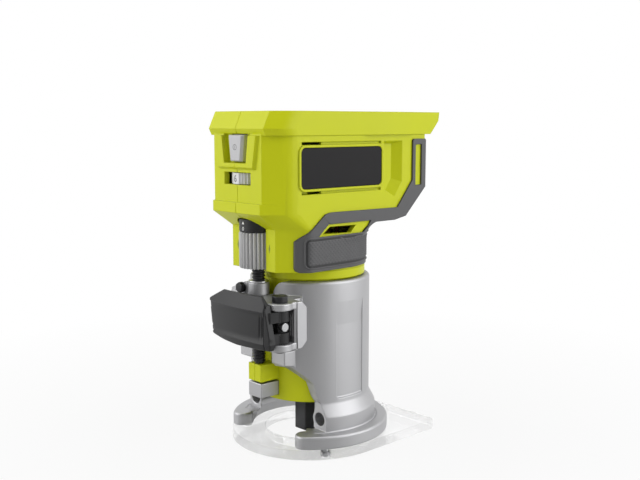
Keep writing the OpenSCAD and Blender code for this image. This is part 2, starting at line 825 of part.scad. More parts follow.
// Trapezium outline of the power button, grown by a clearance
function button_outline(grow) = both_sides([[button_half_w - 1.6 + grow, button_z - grow],
    [button_half_w + grow, button_top + grow]]);

// The button's front face, between the broad chamfers on its sides
function button_face() = both_sides([[button_half_w - 1.6 - button_chamfer, button_z + 0.4],
    [button_half_w - button_chamfer, button_top - 0.4]]);

// Slanted air inlet in the side of the neck, and the bare frame round it
function vent_outline() = [[-15.2, flare_z + 11.3], [6.6, flare_z + 10.9], [2, flare_z + 6.5],
    [-20.6, flare_z + 7.1]];
function vent_frame() = [[-17, flare_z + 12.9], [18.6, flare_z + 12.8], [12.7, flare_z + 4.5],
    [-25.8, flare_z + 5.1]];

// Sunk pockets round a nameplate, on one side of the head
module plate_pockets() {
    top = plate_z + plate_h;
    end = plate_y + plate_w;
    x = head_half_w;
    hull() {
        prism_x([[end + 2.6, top + 3], [pocket_end, top + 3], [pocket_end, plate_z + 1],
            [pocket_end - 7, plate_z - 8], [end + 2.6, plate_z - 3]], x, x + cut_over);
        prism_x([[end + 2.6, top + 1.5], [pocket_end - 5.6, top + 1.5], [pocket_end - 5.6, plate_z + 3],
            [pocket_end - 11, plate_z - 4.5], [end + 2.6, plate_z - 2]],
            x - pocket_depth, x - pocket_depth + 0.01);
    }
    for (z = [top + 1.6, plate_z - 3.2])
        prism_x([[plate_y + 1, z], [end, z], [end, z + 1.6], [plate_y + 1, z + 1.6]], x - 1.4, x + cut_over);
    for (z = [top + 1.6, plate_z - 3.2])
        box([side_in - cut_over, plate_y + 1, z], [x, plate_y + 17, z + 1.6]);
    prism_x(round_box(plate_y - part_gap, plate_z - part_gap, end + part_gap, top + part_gap, 3),
        x - 0.4, x + cut_over);
}

module battery_socket() {
    prism_z(both_sides([[22.2, -head_front + 6.4], [head_half_w - 2.4, -head_front + 16],
        [head_half_w - 2.4, head_back - 8], [head_half_w - 8, head_back + 2]]),
        socket_floor, rim_top + cut_over);
    prism_z(round_box(-well_half_w, well_front, well_half_w, well_back, 4), well_z, rim_top);
}

module housing_openings() {
    // Spindle, bearing seat and air outlets at the lower end
    post(0, 0, nose_r + 1.5, tube_bottom - cut_over, floor_z + cut_over);
    post(0, 0, lower_bearing_r + part_gap, bearing_z, bearing_z + bearing_h);
    for (i = [0:7]) rotate(i * 45 + 22.5) post(0, 22, 3, tube_bottom - cut_over, floor_z + cut_over);
    // Pocket for the spindle lock, wider behind its lip, and the bore for its pin
    box([-lock_half_w - 0.2, -tube_r - cut_over, lock_z - 0.2],
        [lock_half_w + 0.2, -lock_seat, lock_top + 0.2]);
    box([-lock_half_w - lock_lip - 0.3, -lock_seat - part_gap, lock_z - 0.2],
        [lock_half_w + lock_lip + 0.3, -lock_seat + lock_lip_t + lock_travel + part_gap, lock_top + 0.2]);
    bar_y(0, lock_pin_z, lock_pin_r + run_gap, -lock_seat, -nose_r);
    // Depth screw: bore in the lug, recess for the knob and the upper journal
    post(0, screw_y, screw_r - 1.6 + run_gap, lug_z - cut_over, lug_z + lug_h + cut_over);
    post(0, screw_y, recess_r, neck_low_z - 0.1, recess_top);
    post(0, screw_y, screw_r - 1.5 + run_gap, recess_top - cut_over, band_z + 1.7);
    // Controls on the front
    prism_y(both_sides([[10.2, button_z - 0.8], [12.4, rim_z + 1]]), -2 * head_front, -button_floor);
    prism_y(button_outline(0.3), -head_front, -front_in + cut_over);
    box([-dial_window_half_w, -2 * head_front, dial_z - 0.4],
        [dial_window_half_w, -front_in + cut_over, dial_z + dial_t + 0.4]);
    post(0, dial_y, dial_r + 0.4, dial_z - 0.4, dial_z + dial_t + 0.4);
    battery_socket();
    for (s = [0, 1]) mirror([s, 0, 0]) {
        plate_pockets();
        prism_x(vent_outline(), neck_in_r * 0.6, 2 * head_half_w);
    }
    // Case screws, with their heads sunk in the left side
    for (spot = screw_spots) {
        bar_x(spot[0], spot[1], case_screw_r + part_gap, -head_half_w - cut_over, head_half_w - 4);
        bar_x(spot[0], spot[1], case_screw_head_r + 0.2, -head_half_w - cut_over, -head_half_w + 4);
    }
    translate([0, lug_screw_y, lug_screw_z]) {
        bar_x(0, 0, case_screw_r - 0.2, -lug_half_w - cut_over, lug_half_w - 1.5);
        bar_x(0, 0, case_screw_head_r - 0.6, -lug_half_w - cut_over, -lug_half_w + 2);
    }
}

module housing_half(side) {
    color("yellowgreen") intersection() {
        difference() {
            housing_outside();
            housing_hollow();
            housing_openings();
        }
        half_space(side);
    }
}

module housing_left() { housing_half(-1); }
module housing_right() { housing_half(1); }

module housing_screws() {
    color("dimgray") {
        for (spot = screw_spots) {
            bar_x(spot[0], spot[1], case_screw_r, -head_half_w + 4, head_half_w - 5);
            bar_x(spot[0], spot[1], case_screw_head_r, -head_half_w + 1.6, -head_half_w + 4);
        }
        bar_x(lug_screw_y, lug_screw_z, case_screw_r - 0.3, -lug_half_w + 2, lug_half_w - 2);
        bar_x(lug_screw_y, lug_screw_z, case_screw_head_r - 0.8, -lug_half_w + 0.5, -lug_half_w + 2);
    }
}

// Rubber grips and nameplates

// Outline of a grip from the side: neck, diagonal front edge, band under the head, strip at the back
function grip_outline() = let (front = column_front + 7.3, low = grip_z + 1.2, top = rim_z - 2.8) [
    [front, low + 2.4], [front + 0.1, flare_z + 3.8], [front + 2.4, flare_z + 6],
    [front + 18.6, flare_z + 19], [front + 23, flare_z + 19.8], [head_back - 27.5, flare_z + 19.2],
    [head_back - 13.7, band_top + 9.7], [head_back - 13.6, top - 1], [head_back - 12.6, top],
    [head_back - 2, top], [head_back - 1, top - 1],
    [head_back - 1, band_top + 5.3], [head_back - 19.5, overhang_z + 2.1], [head_back - 19.5, flare_z],
    [grip_r + 2, flare_z], [grip_r + 2, low], [front + 2.2, low], [front + 0.6, low + 0.8]];

module grip_half(side) {
    color([0.3, 0.3, 0.32]) intersection() {
        difference() {
            neck(rubber_t);
            neck(run_gap);
            prism_x(vent_frame(), -2 * head_half_w, 2 * head_half_w);
            box([-2 * head_half_w, head_back - 11, band_top + 6.5],
                [2 * head_half_w, head_back - 5.2, rim_z - 6.4]);
        }
        mirror([side > 0 ? 0 : 1, 0, 0]) prism_x(grip_outline(), part_gap, 2 * head_half_w);
    }
}

module grip_left() { grip_half(-1); }
module grip_right() { grip_half(1); }

module nameplate(side) {
    x = head_half_w - 0.4;
    color([0.08, 0.08, 0.09]) mirror([side > 0 ? 0 : 1, 0, 0])
        prism_x(round_box(plate_y, plate_z, plate_y + plate_w, plate_z + plate_h, 3), x, x + plate_t);
}

module nameplate_left() { nameplate(-1); }
module nameplate_right() { nameplate(1); }

// Depth screw, turned with the knob

module depth_screw() {
    lug_top = lug_z + lug_h;
    thread_low = lug_top + 6.5;
    crest = 0.25 * thread_pitch;
    turns = floor((column_z - thread_low) / thread_pitch);
    color("silver") translate([0, screw_y, 0]) rotate_extrude() polygon(concat(
        [[0, lug_z + 0.6], [screw_r - 1.6, lug_z + 0.6], [screw_r - 1.6, lug_top + 0.1],
         [screw_r - 0.7, lug_top + 0.1], [screw_r - 0.7, thread_low]],
        [for (i = [0:turns - 1]) for (p = [[-0.5, 0], [0, crest], [0, 2 * crest], [-0.5, 3 * crest]])
            [screw_r + p[0], thread_low + i * thread_pitch + p[1]]],
        [[screw_r - 1, column_z], [screw_r - 1, recess_top - 0.2], [screw_r - 1.5, recess_top - 0.2],
         [screw_r - 1.5, band_z + 1.5], [0, band_z + 1.5]]));
}

module depth_knob() {
    flutes = 32;
    hub_r = knob_r - 3.4;
    color("lightgray") translate([0, screw_y, 0]) difference() {
        union() {
            translate([0, 0, knob_z]) cylinder(r = knob_r, h = knob_h);
            translate([0, 0, knob_z + knob_h]) cylinder(r = hub_r, h = zero_ring_h);
        }
        translate([0, 0, knob_z - cut_over])
            cylinder(r = screw_r - 1 + run_gap, h = knob_h + zero_ring_h + 2 * cut_over);
        for (i = [0:flutes - 1]) rotate(i * 360 / flutes)
            translate([knob_r + 0.25, 0, knob_z - cut_over])
                cylinder(r = 0.8, h = knob_h + cut_over - 0.8, $fn = 16);
    }
}

// Button under the lug that pushes a pin into the spindle while the collet nut is turned
module spindle_lock() {
    lip = lock_half_w + lock_lip;
    color("silver") {
        box([-lock_half_w, lug_front, lock_z], [lock_half_w, -lock_seat, lock_top]);
        box([-lip, -lock_seat, lock_z], [lip, -lock_seat + lock_lip_t, lock_top]);
        bar_y(0, lock_pin_z, lock_pin_r, -lock_seat + lock_lip_t, -nose_r - 1);
    }
}

module zero_ring() {
    color([0.1, 0.1, 0.11])
        ring_at_screw(knob_r - 0.2, knob_r - 3.4 + part_gap, zero_ring_z, zero_ring_z + zero_ring_h);
}

// Controls

module power_button() {
    color("gray") {
        hull() {
            prism_y(button_face(), -button_front, -button_front + 0.01);
            prism_y(button_outline(0), -button_front + button_chamfer, -button_front + button_chamfer + 0.01);
        }
        prism_y(button_outline(0), -button_front + button_chamfer, -front_in + 0.2);
        prism_y(button_outline(button_lip), -front_in + 0.2, -front_in + 2);
        bar_y(0, button_z + button_h / 2, 2.5, -front_in + 2, -button_stem_end);
    }
}

module power_switch() {
    mid = button_z + button_h / 2;
    color([0.1, 0.1, 0.11]) box([-6, -switch_face, mid - 6], [6, board_y, mid + 6]);
}

module speed_dial() {
    ridges = 30;
    color("gray") translate([0, dial_y, dial_z]) difference() {
        cylinder(r = dial_r, h = dial_t);
        translate([0, 0, -cut_over]) cylinder(r = 3 + run_gap, h = dial_t + 2 * cut_over);
        for (i = [0:ridges - 1]) rotate(i * 360 / ridges + 6)
            translate([dial_r + 0.3, 0, -cut_over]) cylinder(r = 0.9, h = dial_t + 2 * cut_over, $fn = 16);
    }
}

module dial_pot() {
    color([0.1, 0.2, 0.4]) {
        box([-5, dial_y - 4, dial_z - 6], [5, board_y, dial_z - 0.6]);
        post(0, dial_y, 3, dial_z - 0.6, dial_z + dial_t - 0.5);
    }
}

module control_board() {
    color("darkgreen") difference() {
        union() {
            box([-board_half_w, board_y, board_z], [board_half_w, board_y + board_t, board_z + board_h]);
            for (x = [-19, 12]) box([x, board_y - 4.5, board_z + 22], [x + 7, board_y, board_z + 32]);
        }
        box([-dial_r - 1, board_y - cut_over, dial_z - 0.5],
            [dial_r + 1, board_y + board_t + cut_over, dial_z + dial_t + 0.5]);
    }
}

// Battery socket

module terminal_block() {
    color([0.1, 0.1, 0.11]) difference() {
        box([-12, -6, well_z], [12, 20, well_z + 10]);
        at_blades() box([-0.4, -3, cut_over - 3], [0.4, 3, 10 + cut_over]);
    }
}

module at_blades() {
    for (x = [-7, 0, 7]) translate([x, 7, well_z]) children();
}

module terminal_blades() {
    color("gold") at_blades() box([-0.4, -3, 0], [0.4, 3, 28]);
}

module battery_leads() {
    color("firebrick") for (x = [-10, 10]) post(x, 14, 1.3, upper_bearing_z, band_z);
}

// Motor, fixed parts

module motor_can() {
    color("silver") ring(can_r, can_r - can_wall, can_z, can_top);
}

module field_magnets() {
    color([0.2, 0.2, 0.22]) for (a = [0, 180]) rotate(a) intersection() {
        ring(magnet_r, magnet_r - magnet_t, can_z + 4, can_top - 4);
        prism_z([[0, 0], around(2 * can_r, -65), around(4 * can_r, 0), around(2 * can_r, 65)], 0, can_top);
    }
}

module brush_plate() {
    color("tan") difference() {
        union() {
            post(0, 0, brush_plate_r, brush_plate_z, upper_bearing_z);
            post(0, 0, upper_bearing_r + 2.5, brush_plate_z, upper_bearing_z + upper_bearing_h);
        }
        post(0, 0, upper_bearing_r + run_gap, upper_bearing_z, rim_z);
        post(0, 0, spindle_top_r + 2, 0, rim_z);
    }
}

// Both sides of the commutator
module at_brushes() {
    for (a = [0, 180]) rotate(a) children();
}

module brush_holders() {
    color("goldenrod") at_brushes() difference() {
        box([commutator_r + 2, -4, brush_plate_z - 11], [commutator_r + 15, 4, brush_plate_z]);
        box([commutator_r, -2.6, brush_plate_z - 9], [commutator_r + 14, 2.6, brush_plate_z - 3]);
    }
}

module brushes() {
    color([0.15, 0.15, 0.16]) at_brushes()
        box([commutator_r + part_gap, -2.5, brush_plate_z - 8.9],
            [commutator_r + 9, 2.5, brush_plate_z - 3.1]);
}

module brush_springs() {
    color("silver") at_brushes() bar_x(0, brush_plate_z - 6, 2, commutator_r + 9, commutator_r + 14);
}

module lower_bearing() {
    color("silver") ring(lower_bearing_r, spindle_r + run_gap, bearing_z, bearing_z + bearing_h);
}

module upper_bearing() {
    color("silver") ring(upper_bearing_r, spindle_top_r + run_gap,
        upper_bearing_z, upper_bearing_z + upper_bearing_h);
}

// Rotor

module spindle() {
    color("silver") difference() {
        union() {
            post(0, 0, nose_r, collet_seat_z + 0.3, bearing_z - 0.5);
            post(0, 0, spindle_r, bearing_z - 0.5, can_top - 1);
            post(0, 0, spindle_top_r, can_top - 1, upper_bearing_z + upper_bearing_h + 1);
        }
        post(0, 0, collet_bore_r + 1.9, 0, collet_top + 1);
        bar_y(0, lock_pin_z, lock_pin_r + 0.25, -nose_r - cut_over, nose_r + cut_over);
    }
}

module armature_core() {
    color([0.35, 0.35, 0.37]) difference() {
        ring(core_r, spindle_r + run_gap, core_z, core_z + core_h);
        for (i = [0:slot_count - 1]) rotate(i * 360 / slot_count)
            box([core_r - slot_depth, -slot_half, 0], [core_r - 1.5, slot_half, can_top]);
        for (i = [0:slot_count - 1]) rotate(i * 360 / slot_count)
            box([core_r - 2, -0.9, 0], [core_r + 1, 0.9, can_top]);
    }
}

module armature_winding() {
    end_h = 5;
    inner = core_r - slot_depth + part_gap;
    color("chocolate") {
        for (z = [core_z - end_h, core_z + core_h]) ring(core_r - 2, inner, z, z + end_h);
        for (i = [0:slot_count - 1]) rotate(i * 360 / slot_count)
            box([inner, part_gap - slot_half, core_z - cut_over],
                [core_r - 2.4, slot_half - part_gap, core_z + core_h + cut_over]);
    }
}

module commutator() {
    bars = 24;
    color("peru") difference() {
        ring(commutator_r, spindle_top_r + run_gap, can_top + 1, can_top + 1 + commutator_h);
        for (i = [0:bars - 1]) rotate(i * 360 / bars)
            box([commutator_r - 0.8, -0.2, can_top + 2], [commutator_r + 1, 0.2, can_top + 3 + commutator_h]);
    }
}

module cooling_fan() {
    blades = 12;
    fan_r = tube_in_r - 2.5;
    color([0.15, 0.15, 0.16]) {
        ring(fan_r, spindle_r + run_gap, fan_z, fan_z + 2);
        ring(9, spindle_r + run_gap, fan_z + 2, fan_z + fan_h);
        for (i = [0:blades - 1]) rotate(i * 360 / blades)
            box([8, -0.7, fan_z + 2], [fan_r - 1, 0.7, fan_z + fan_h]);
    }
}

module collet() {
    slits = 3;
    color("silver") difference() {
        rotate_extrude() polygon([[collet_bore_r, collet_z], [collet_bore_r + 1.4, collet_z],
            [nose_r - 1.2, collet_seat_z], [collet_bore_r + 1.8, collet_seat_z + 0.2],
            [collet_bore_r + 1.8, collet_top], [collet_bore_r, collet_top]]);
        for (i = [0:slits - 1]) rotate(i * 360 / slits)
            box([0, -0.4, collet_z - cut_over], [nose_r, 0.4, collet_top - 5]);
    }
}

module collet_nut() {
    color([0.16, 0.16, 0.17]) difference() {
        post_hex(nut_flats, nut_z, nut_top);
        rotate_extrude() polygon([[0, nut_z - cut_over], [collet_bore_r + 1.6, nut_z - cut_over],
            [collet_bore_r + 1.6, collet_z], [nose_r - 1, collet_seat_z], [nose_r + run_gap, collet_seat_z],
            [nose_r + run_gap, nut_top + cut_over], [0, nut_top + cut_over]]);
    }
}

// Six-sided bar by its size across the flats
module post_hex(flats, z0, z1) {
    translate([0, 0, z0]) cylinder(r = flats / 2 / cos(30), h = z1 - z0, $fn = 6);
}

base_casting();
sub_base();
sub_base_screws();
feed_nut();
feed_nut_screw();
clamp_bolt();
lever_pin();
thrust_washer();
clamp_lever();
housing_left();
housing_right();
grip_left();
grip_right();
nameplate_left();
nameplate_right();
housing_screws();
depth_screw();
depth_knob();
spindle_lock();
zero_ring();
power_button();
power_switch();
speed_dial();
dial_pot();
control_board();
terminal_block();
terminal_blades();
battery_leads();
motor_can();
field_magnets();
brush_plate();
brush_holders();
brushes();
brush_springs();
lower_bearing();
upper_bearing();
spindle();
armature_core();
armature_winding();
commutator();
cooling_fan();
collet();
collet_nut();
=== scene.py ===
"""Looks of a cordless trim router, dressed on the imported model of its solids.

Every piece is modelled in millimetres in the frame of the solids (spindle axis on Z, sub-base
on Z = 0, front towards -Y) and is brought to metres when its object is made.
"""

from __future__ import annotations

import logging
import math
from collections.abc import Callable
from dataclasses import dataclass, field
from enum import Enum

import bmesh
import bpy
from bmesh.types import BMEdge, BMesh, BMFace, BMVert
from bpy.types import Material, Node, NodeInputs, NodeOutputs, NodeSocket, NodeTree, Object
from mathutils import Matrix, Vector
from mathutils.bvhtree import BVHTree
from mathutils.geometry import intersect_point_line


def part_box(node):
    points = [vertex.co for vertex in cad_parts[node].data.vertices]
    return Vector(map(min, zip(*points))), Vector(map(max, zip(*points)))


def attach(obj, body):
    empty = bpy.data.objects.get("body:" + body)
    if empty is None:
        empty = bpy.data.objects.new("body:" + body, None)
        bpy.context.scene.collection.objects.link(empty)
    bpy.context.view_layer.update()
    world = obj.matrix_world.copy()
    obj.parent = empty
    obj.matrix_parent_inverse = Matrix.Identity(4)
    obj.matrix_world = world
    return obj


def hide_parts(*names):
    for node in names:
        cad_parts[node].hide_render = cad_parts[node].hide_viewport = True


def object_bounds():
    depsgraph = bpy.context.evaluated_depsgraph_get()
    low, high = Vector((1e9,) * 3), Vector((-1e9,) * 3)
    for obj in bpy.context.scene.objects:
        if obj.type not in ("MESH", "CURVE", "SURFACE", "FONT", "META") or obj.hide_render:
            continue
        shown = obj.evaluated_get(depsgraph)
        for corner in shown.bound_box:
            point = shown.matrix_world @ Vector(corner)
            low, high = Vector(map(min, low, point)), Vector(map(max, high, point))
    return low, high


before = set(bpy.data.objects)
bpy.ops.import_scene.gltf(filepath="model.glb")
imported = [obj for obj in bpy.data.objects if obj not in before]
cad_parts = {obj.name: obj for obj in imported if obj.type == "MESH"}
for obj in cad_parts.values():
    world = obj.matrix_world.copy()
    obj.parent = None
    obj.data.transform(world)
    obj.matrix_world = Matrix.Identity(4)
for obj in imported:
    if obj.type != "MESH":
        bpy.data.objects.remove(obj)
CAD_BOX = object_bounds()
LOG = logging.getLogger("trim_router")
MM = 0.001

# Copies of solids: points that are merged, the turn in degrees of a flat face, the reach of a cut,
# the turn in degrees of a crisp edge, and how close to a line or face a point on it lies.
MERGED = 0.002
FLAT_TURN = 0.5
CUT_REACH = 0.0005
CRISP = 34.0
NEAR = 0.05
SEAM_REACH = 0.02

# Rounding: the sharpest turn inside a run of edges, the share of the full width that an edge needs,
# and the share of a face's width that it may take where the far edge is rounded too or isn't.
RUN_STRAIGHT = math.cos(math.radians(50))
LEAST_ROOM = 0.3
SHARED_ROOM = 0.45
FREE_ROOM = 0.8

# Checks of the rounding: how often they run, how far a point may stray in widths, how much more than
# its area a face's triangles may cover, and the least cosine between faces that are level.
SETTLE_ROUNDS = 12
STRAY_SHARE = 0.62
CROSSED_SHARE = 1.12
LEVEL = 0.98

# Signs: a font's size over the height of its digits.
DIGIT_SCALE = 1.4

# Sockets of the shared groups that carry a colour.
COLOURED = ("Color", "Worn")

Colour = tuple[float, float, float]
Place = tuple[float, float, float]
Profile = tuple[tuple[float, float], ...]


class Grain(Enum):
    """Kinds of fine surface relief."""

    MOULDED = "moulded"
    CAST = "cast"
    TURNED = "turned"
    STIPPLED = "stippled"


class Rounded(Enum):
    """Which edges of a solid's copy are rounded."""

    ALL = "every crisp edge"
    OUTER = "the edges that stand out"
    SEAM = "the edges on the parting plane"


class Side(Enum):
    """The two sides of the tool, as the sign of X."""

    RIGHT = 1
    LEFT = -1


class NodeBench:
    """A node tree with short calls that place nodes and join their sockets."""

    def __init__(self, tree: NodeTree) -> None:
        """Takes the tree of a material, a world or a group, which the nodes go into."""
        self.tree = tree

    def join(self, source: object, target: NodeSocket) -> None:
        """Joins an output socket to an input socket, or sets a plain value on it.

        Args:
            source: An output socket or a plain value.
            target: The input socket.
        """
        if isinstance(source, NodeSocket):
            self.tree.links.new(source, target)
        else:
            target.default_value = source

    def feed(self, node: Node, **values: object) -> Node:
        """Joins or sets input sockets of a node.

        Args:
            node: The node.
            **values: Sockets or plain values by socket name, with spaces written as underscores.

        Returns:
            The same node.
        """
        for name, value in values.items():
            self.join(value, node.inputs[name.replace("_", " ")])
        return node

    def place(
        self, kind: str, *inputs: object, operation: str = "", tree: NodeTree | None = None, **values: object
    ) -> Node:
        """Places one node and feeds its input sockets.

        Args:
            kind: The node's type name, without the ShaderNode that it starts with.
            *inputs: Sockets or plain values for its first input sockets, in order.
            operation: What a math node works out.
            tree: The shared group that a group node holds.
            **values: Sockets or plain values by socket name, as feed takes them.

        Returns:
            The new node.
        """
        node = self.tree.nodes.new(f"ShaderNode{kind}")
        if operation:
            node.operation = operation
        if tree:
            node.node_tree = tree
        for value, socket in zip(inputs, node.inputs):
            self.join(value, socket)
        return self.feed(node, **values)

    def math(self, operation: str, *inputs: object) -> NodeSocket:
        """Places a math node for numbers or sockets and gives its output socket."""
        return self.place("Math", *inputs, operation=operation).outputs[0]


class EffectGroups:
    """Shader node groups that several finishes share, each built once."""

    turned_stretch: Place = (0.15, 0.15, 3.0)
    cast_fine_share: float = 0.6
    cast_pit_scale: float = 0.3
    wear_samples: int = 4
    wear_gain: float = 4.0
    patch_scale: float = 160.0

    def __init__(self) -> None:
        """Builds every group."""
        self.relief = {grain: self._relief(grain) for grain in Grain}
        self.drift = self._drift()
        self.wear = self._wear()

    @staticmethod
    def _start(
        name: str, inputs: tuple[str, ...], outputs: tuple[str, ...]
    ) -> tuple[NodeBench, NodeOutputs, NodeInputs]:
        """Makes an empty group with named sockets.

        Args:
            name: The group's name.
            inputs: The names of what goes in.
            outputs: The names of what comes out.

        Returns:
            A bench for the group, the sockets of what goes in and the sockets of what comes out.
        """
        tree = bpy.data.node_groups.new(name, "ShaderNodeTree")
        for direction, sockets in (("INPUT", inputs), ("OUTPUT", outputs)):
            for socket in sockets:
                kind = "NodeSocketColor" if socket in COLOURED else "NodeSocketFloat"
                tree.interface.new_socket(name=socket, in_out=direction, socket_type=kind)
        entry = tree.nodes.new("NodeGroupInput").outputs
        return NodeBench(tree), entry, tree.nodes.new("NodeGroupOutput").inputs

    def _relief(self, grain: Grain) -> NodeTree:
        """Makes the group that gives the height of one kind of surface relief.

        Args:
            grain: The kind of relief.

        Returns:
            A group with a Scale input and a Height output.
        """
        bench, entry, result = self._start(f"{grain.value}_relief", ("Scale",), ("Height",))
        place = bench.place("TexCoord").outputs["Object"]
        stretch = self.turned_stretch if grain is Grain.TURNED else (1.0, 1.0, 1.0)
        spot = bench.place("Mapping", Vector=place, Scale=stretch).outputs["Vector"]
        if grain is Grain.STIPPLED:
            height = bench.place("TexVoronoi", Vector=spot, Scale=entry["Scale"]).outputs["Distance"]
        else:
            noise = bench.place("TexNoise", Vector=spot, Scale=entry["Scale"], Detail=4.0, Roughness=0.6)
            height = noise.outputs["Fac"]
        if grain is Grain.CAST:
            coarse = bench.math("MULTIPLY", entry["Scale"], self.cast_pit_scale)
            pits = bench.place("TexNoise", Vector=place, Scale=coarse, Detail=2.0, Roughness=0.5)
            fine = bench.math("MULTIPLY", height, self.cast_fine_share)
            height = bench.math("ADD", fine, pits.outputs["Fac"])
        bench.join(height, result["Height"])
        return bench.tree

    def _drift(self) -> NodeTree:
        """Makes the group that lets colour and roughness drift a little over a surface.

        Returns:
            A group with Color, Roughness, Amount and Scale inputs and two drifting outputs.
        """
        bench, entry, result = self._start(
            "tone_drift", ("Color", "Roughness", "Amount", "Scale"), ("Color", "Roughness")
        )
        place = bench.place("TexCoord").outputs["Object"]
        cloud = bench.place("TexNoise", Vector=place, Scale=entry["Scale"], Detail=5.0, Roughness=0.65)
        swing = bench.math("MULTIPLY", bench.math("SUBTRACT", cloud.outputs["Fac"], 0.5), 2.0)
        swing = bench.math("MULTIPLY", swing, entry["Amount"])
        lighter = bench.math("ADD", swing, 1.0)
        shade = bench.place("VectorMath", entry["Color"], operation="SCALE", Scale=lighter)
        bench.join(shade.outputs["Vector"], result["Color"])
        bench.join(bench.math("ADD", entry["Roughness"], swing), result["Roughness"])
        return bench.tree

    def _wear(self) -> NodeTree:
        """Makes the group that puts another colour along edges: rubbed wear, painted highlights and painted
        shade.

        Returns:
            A group with Color, edge colour, Reach and Amount inputs and a Color output.
        """
        bench, entry, result = self._start("edge_wear_and_painted_light", ("Color", "Worn", "Reach", "Amount"), ("Color",))
        rounded = bench.place("Bevel", Radius=entry["Reach"])
        rounded.samples = self.wear_samples
        plain = bench.place("NewGeometry").outputs["Normal"]
        facing = bench.place("VectorMath", rounded.outputs["Normal"], plain, operation="DOT_PRODUCT")
        place = bench.place("TexCoord").outputs["Object"]
        patches = bench.place("TexNoise", Vector=place, Scale=self.patch_scale, Detail=4.0, Roughness=0.6)
        flat = bench.math("ABSOLUTE", facing.outputs["Value"])
        edge = bench.math("MULTIPLY", bench.math("SUBTRACT", 1.0, flat), self.wear_gain)
        edge = bench.math("MINIMUM", bench.math("MULTIPLY", edge, patches.outputs["Fac"]), 1.0)
        # The edge mask mixes in rubbed wear, painted edge highlights and painted edge shade, as each finish
        # asks.
        mix = bench.place("Mix")
        mix.data_type = "RGBA"
        share = bench.math("MULTIPLY", edge, entry["Amount"])
        bench.feed(mix, Factor=share, A=entry["Color"], B=entry["Worn"])
        bench.join(mix.outputs["Result"], result["Color"])
        return bench.tree


EFFECTS = EffectGroups()


@dataclass(frozen=True)
class Surface:
    """What every finish has: its name, its colour and a slot, if that isn't named as the finish is."""

    name: str
    colour: Colour
    slot: str = field(default="", kw_only=True)

    def material(self) -> Material:
        """Returns this finish's material, made on first use."""
        name = f"{self.name}_finish"
        known = bpy.data.materials.get(name)
        if known:
            return known
        material = bpy.data.materials.new(name)
        material.use_nodes = True
        self._dress(material, NodeBench(material.node_tree))
        return material

    def _dress(self, material: Material, bench: NodeBench) -> None:
        """Fills a new material's nodes, which each kind of finish does in its own way."""
        raise NotImplementedError


@dataclass(frozen=True)
class Finish(Surface):
    """An opaque finish: a colour that drifts a little, fine relief and edges in another colour, which is
    rubbed wear, painted highlight and painted shade on different finishes.
    """

    roughness: float
    grain: Grain = Grain.MOULDED
    grain_scale: float = 2200.0
    grain_depth: float = 0.02
    grain_strength: float = 0.25
    drift: float = 0.03
    drift_scale: float = 60.0
    metallic: float = 0.0
    # Edge colour, its share and reach: rubbed wear on some finishes, painted highlights and painted shade on
    # others.
    worn: Colour | None = None
    wear: float = 0.0
    wear_reach: float = 0.4
    gloss: float = 0.5
    soft_edge: float = 0.0
    soft_samples: int = 6

    def _dress(self, material: Material, bench: NodeBench) -> None:
        """Fills the material's nodes.

        Args:
            material: The new material.
            bench: A bench for its nodes.
        """
        material.diffuse_color = (*self.colour, 1.0)
        drift = bench.place(
            "Group",
            tree=EFFECTS.drift,
            Color=(*self.colour, 1.0),
            Roughness=self.roughness,
            Amount=self.drift,
            Scale=self.drift_scale,
        )
        colour = drift.outputs["Color"]
        # Mixes in the edge colour: rubbed wear, painted highlights and painted shade.
        if self.worn:
            wear = bench.place("Group", tree=EFFECTS.wear, Color=colour, Worn=(*self.worn, 1.0))
            bench.feed(wear, Reach=self.wear_reach * MM, Amount=self.wear)
            colour = wear.outputs["Color"]
        relief = bench.place("Group", tree=EFFECTS.relief[self.grain], Scale=self.grain_scale)
        bump = bench.place("Bump", Strength=self.grain_strength, Distance=self.grain_depth * MM)
        bench.feed(bump, Height=relief.outputs["Height"])
        if self.soft_edge:
            rounded = bench.place("Bevel", Radius=self.soft_edge * MM)
            rounded.samples = self.soft_samples
            bench.feed(bump, Normal=rounded.outputs["Normal"])
        bench.feed(
            material.node_tree.nodes["Principled BSDF"],
            Base_Color=colour,
            Metallic=self.metallic,
            Roughness=drift.outputs["Roughness"],
            Specular_IOR_Level=self.gloss,
            Normal=bump.outputs["Normal"],
        )


@dataclass(frozen=True)
class ClearFinish(Surface):
    """A clear moulded plastic with faint flow marks and edges painted greyer, a painted shade for what the
    edges reflect and refract.
    """

    edge: Colour
    edge_reach: float = 0.9
    roughness: float = 0.04
    refraction: float = 1.49
    cover: float = 0.4
    flow_scale: float = 60.0
    flow_depth: float = 0.2
    flow_strength: float = 0.12

    def _dress(self, material: Material, bench: NodeBench) -> None:
        """Fills the material's nodes.

        Args:
            material: The new material.
            bench: A bench for its nodes.
        """
        # Grey edge colour: painted shade along the plate's edges.
        rim = bench.place("Group", tree=EFFECTS.wear, Color=(*self.colour, 1.0), Worn=(*self.edge, 1.0))
        bench.feed(rim, Reach=self.edge_reach * MM, Amount=1.0)
        relief = bench.place("Group", tree=EFFECTS.relief[Grain.MOULDED], Scale=self.flow_scale)
        bump = bench.place("Bump", Strength=self.flow_strength, Distance=self.flow_depth * MM)
        bench.feed(bump, Height=relief.outputs["Height"])
        bench.feed(
            material.node_tree.nodes["Principled BSDF"],
            Base_Color=rim.outputs["Color"],
            Roughness=self.roughness,
            IOR=self.refraction,
            Transmission_Weight=1.0,
            Alpha=self.cover,
            Normal=bump.outputs["Normal"],
        )


# Solids that get only a finish and rounded edges: name, finish and rounding in millimetres.
Fittings = tuple[tuple[str, Surface, float], ...]

# Relief that several finishes share: its kind, scale, depth and strength.
STIPPLE = (Grain.STIPPLED, 1500.0, 0.05, 0.3)
TURNING = (Grain.TURNED, 900.0, 0.02, 0.2)

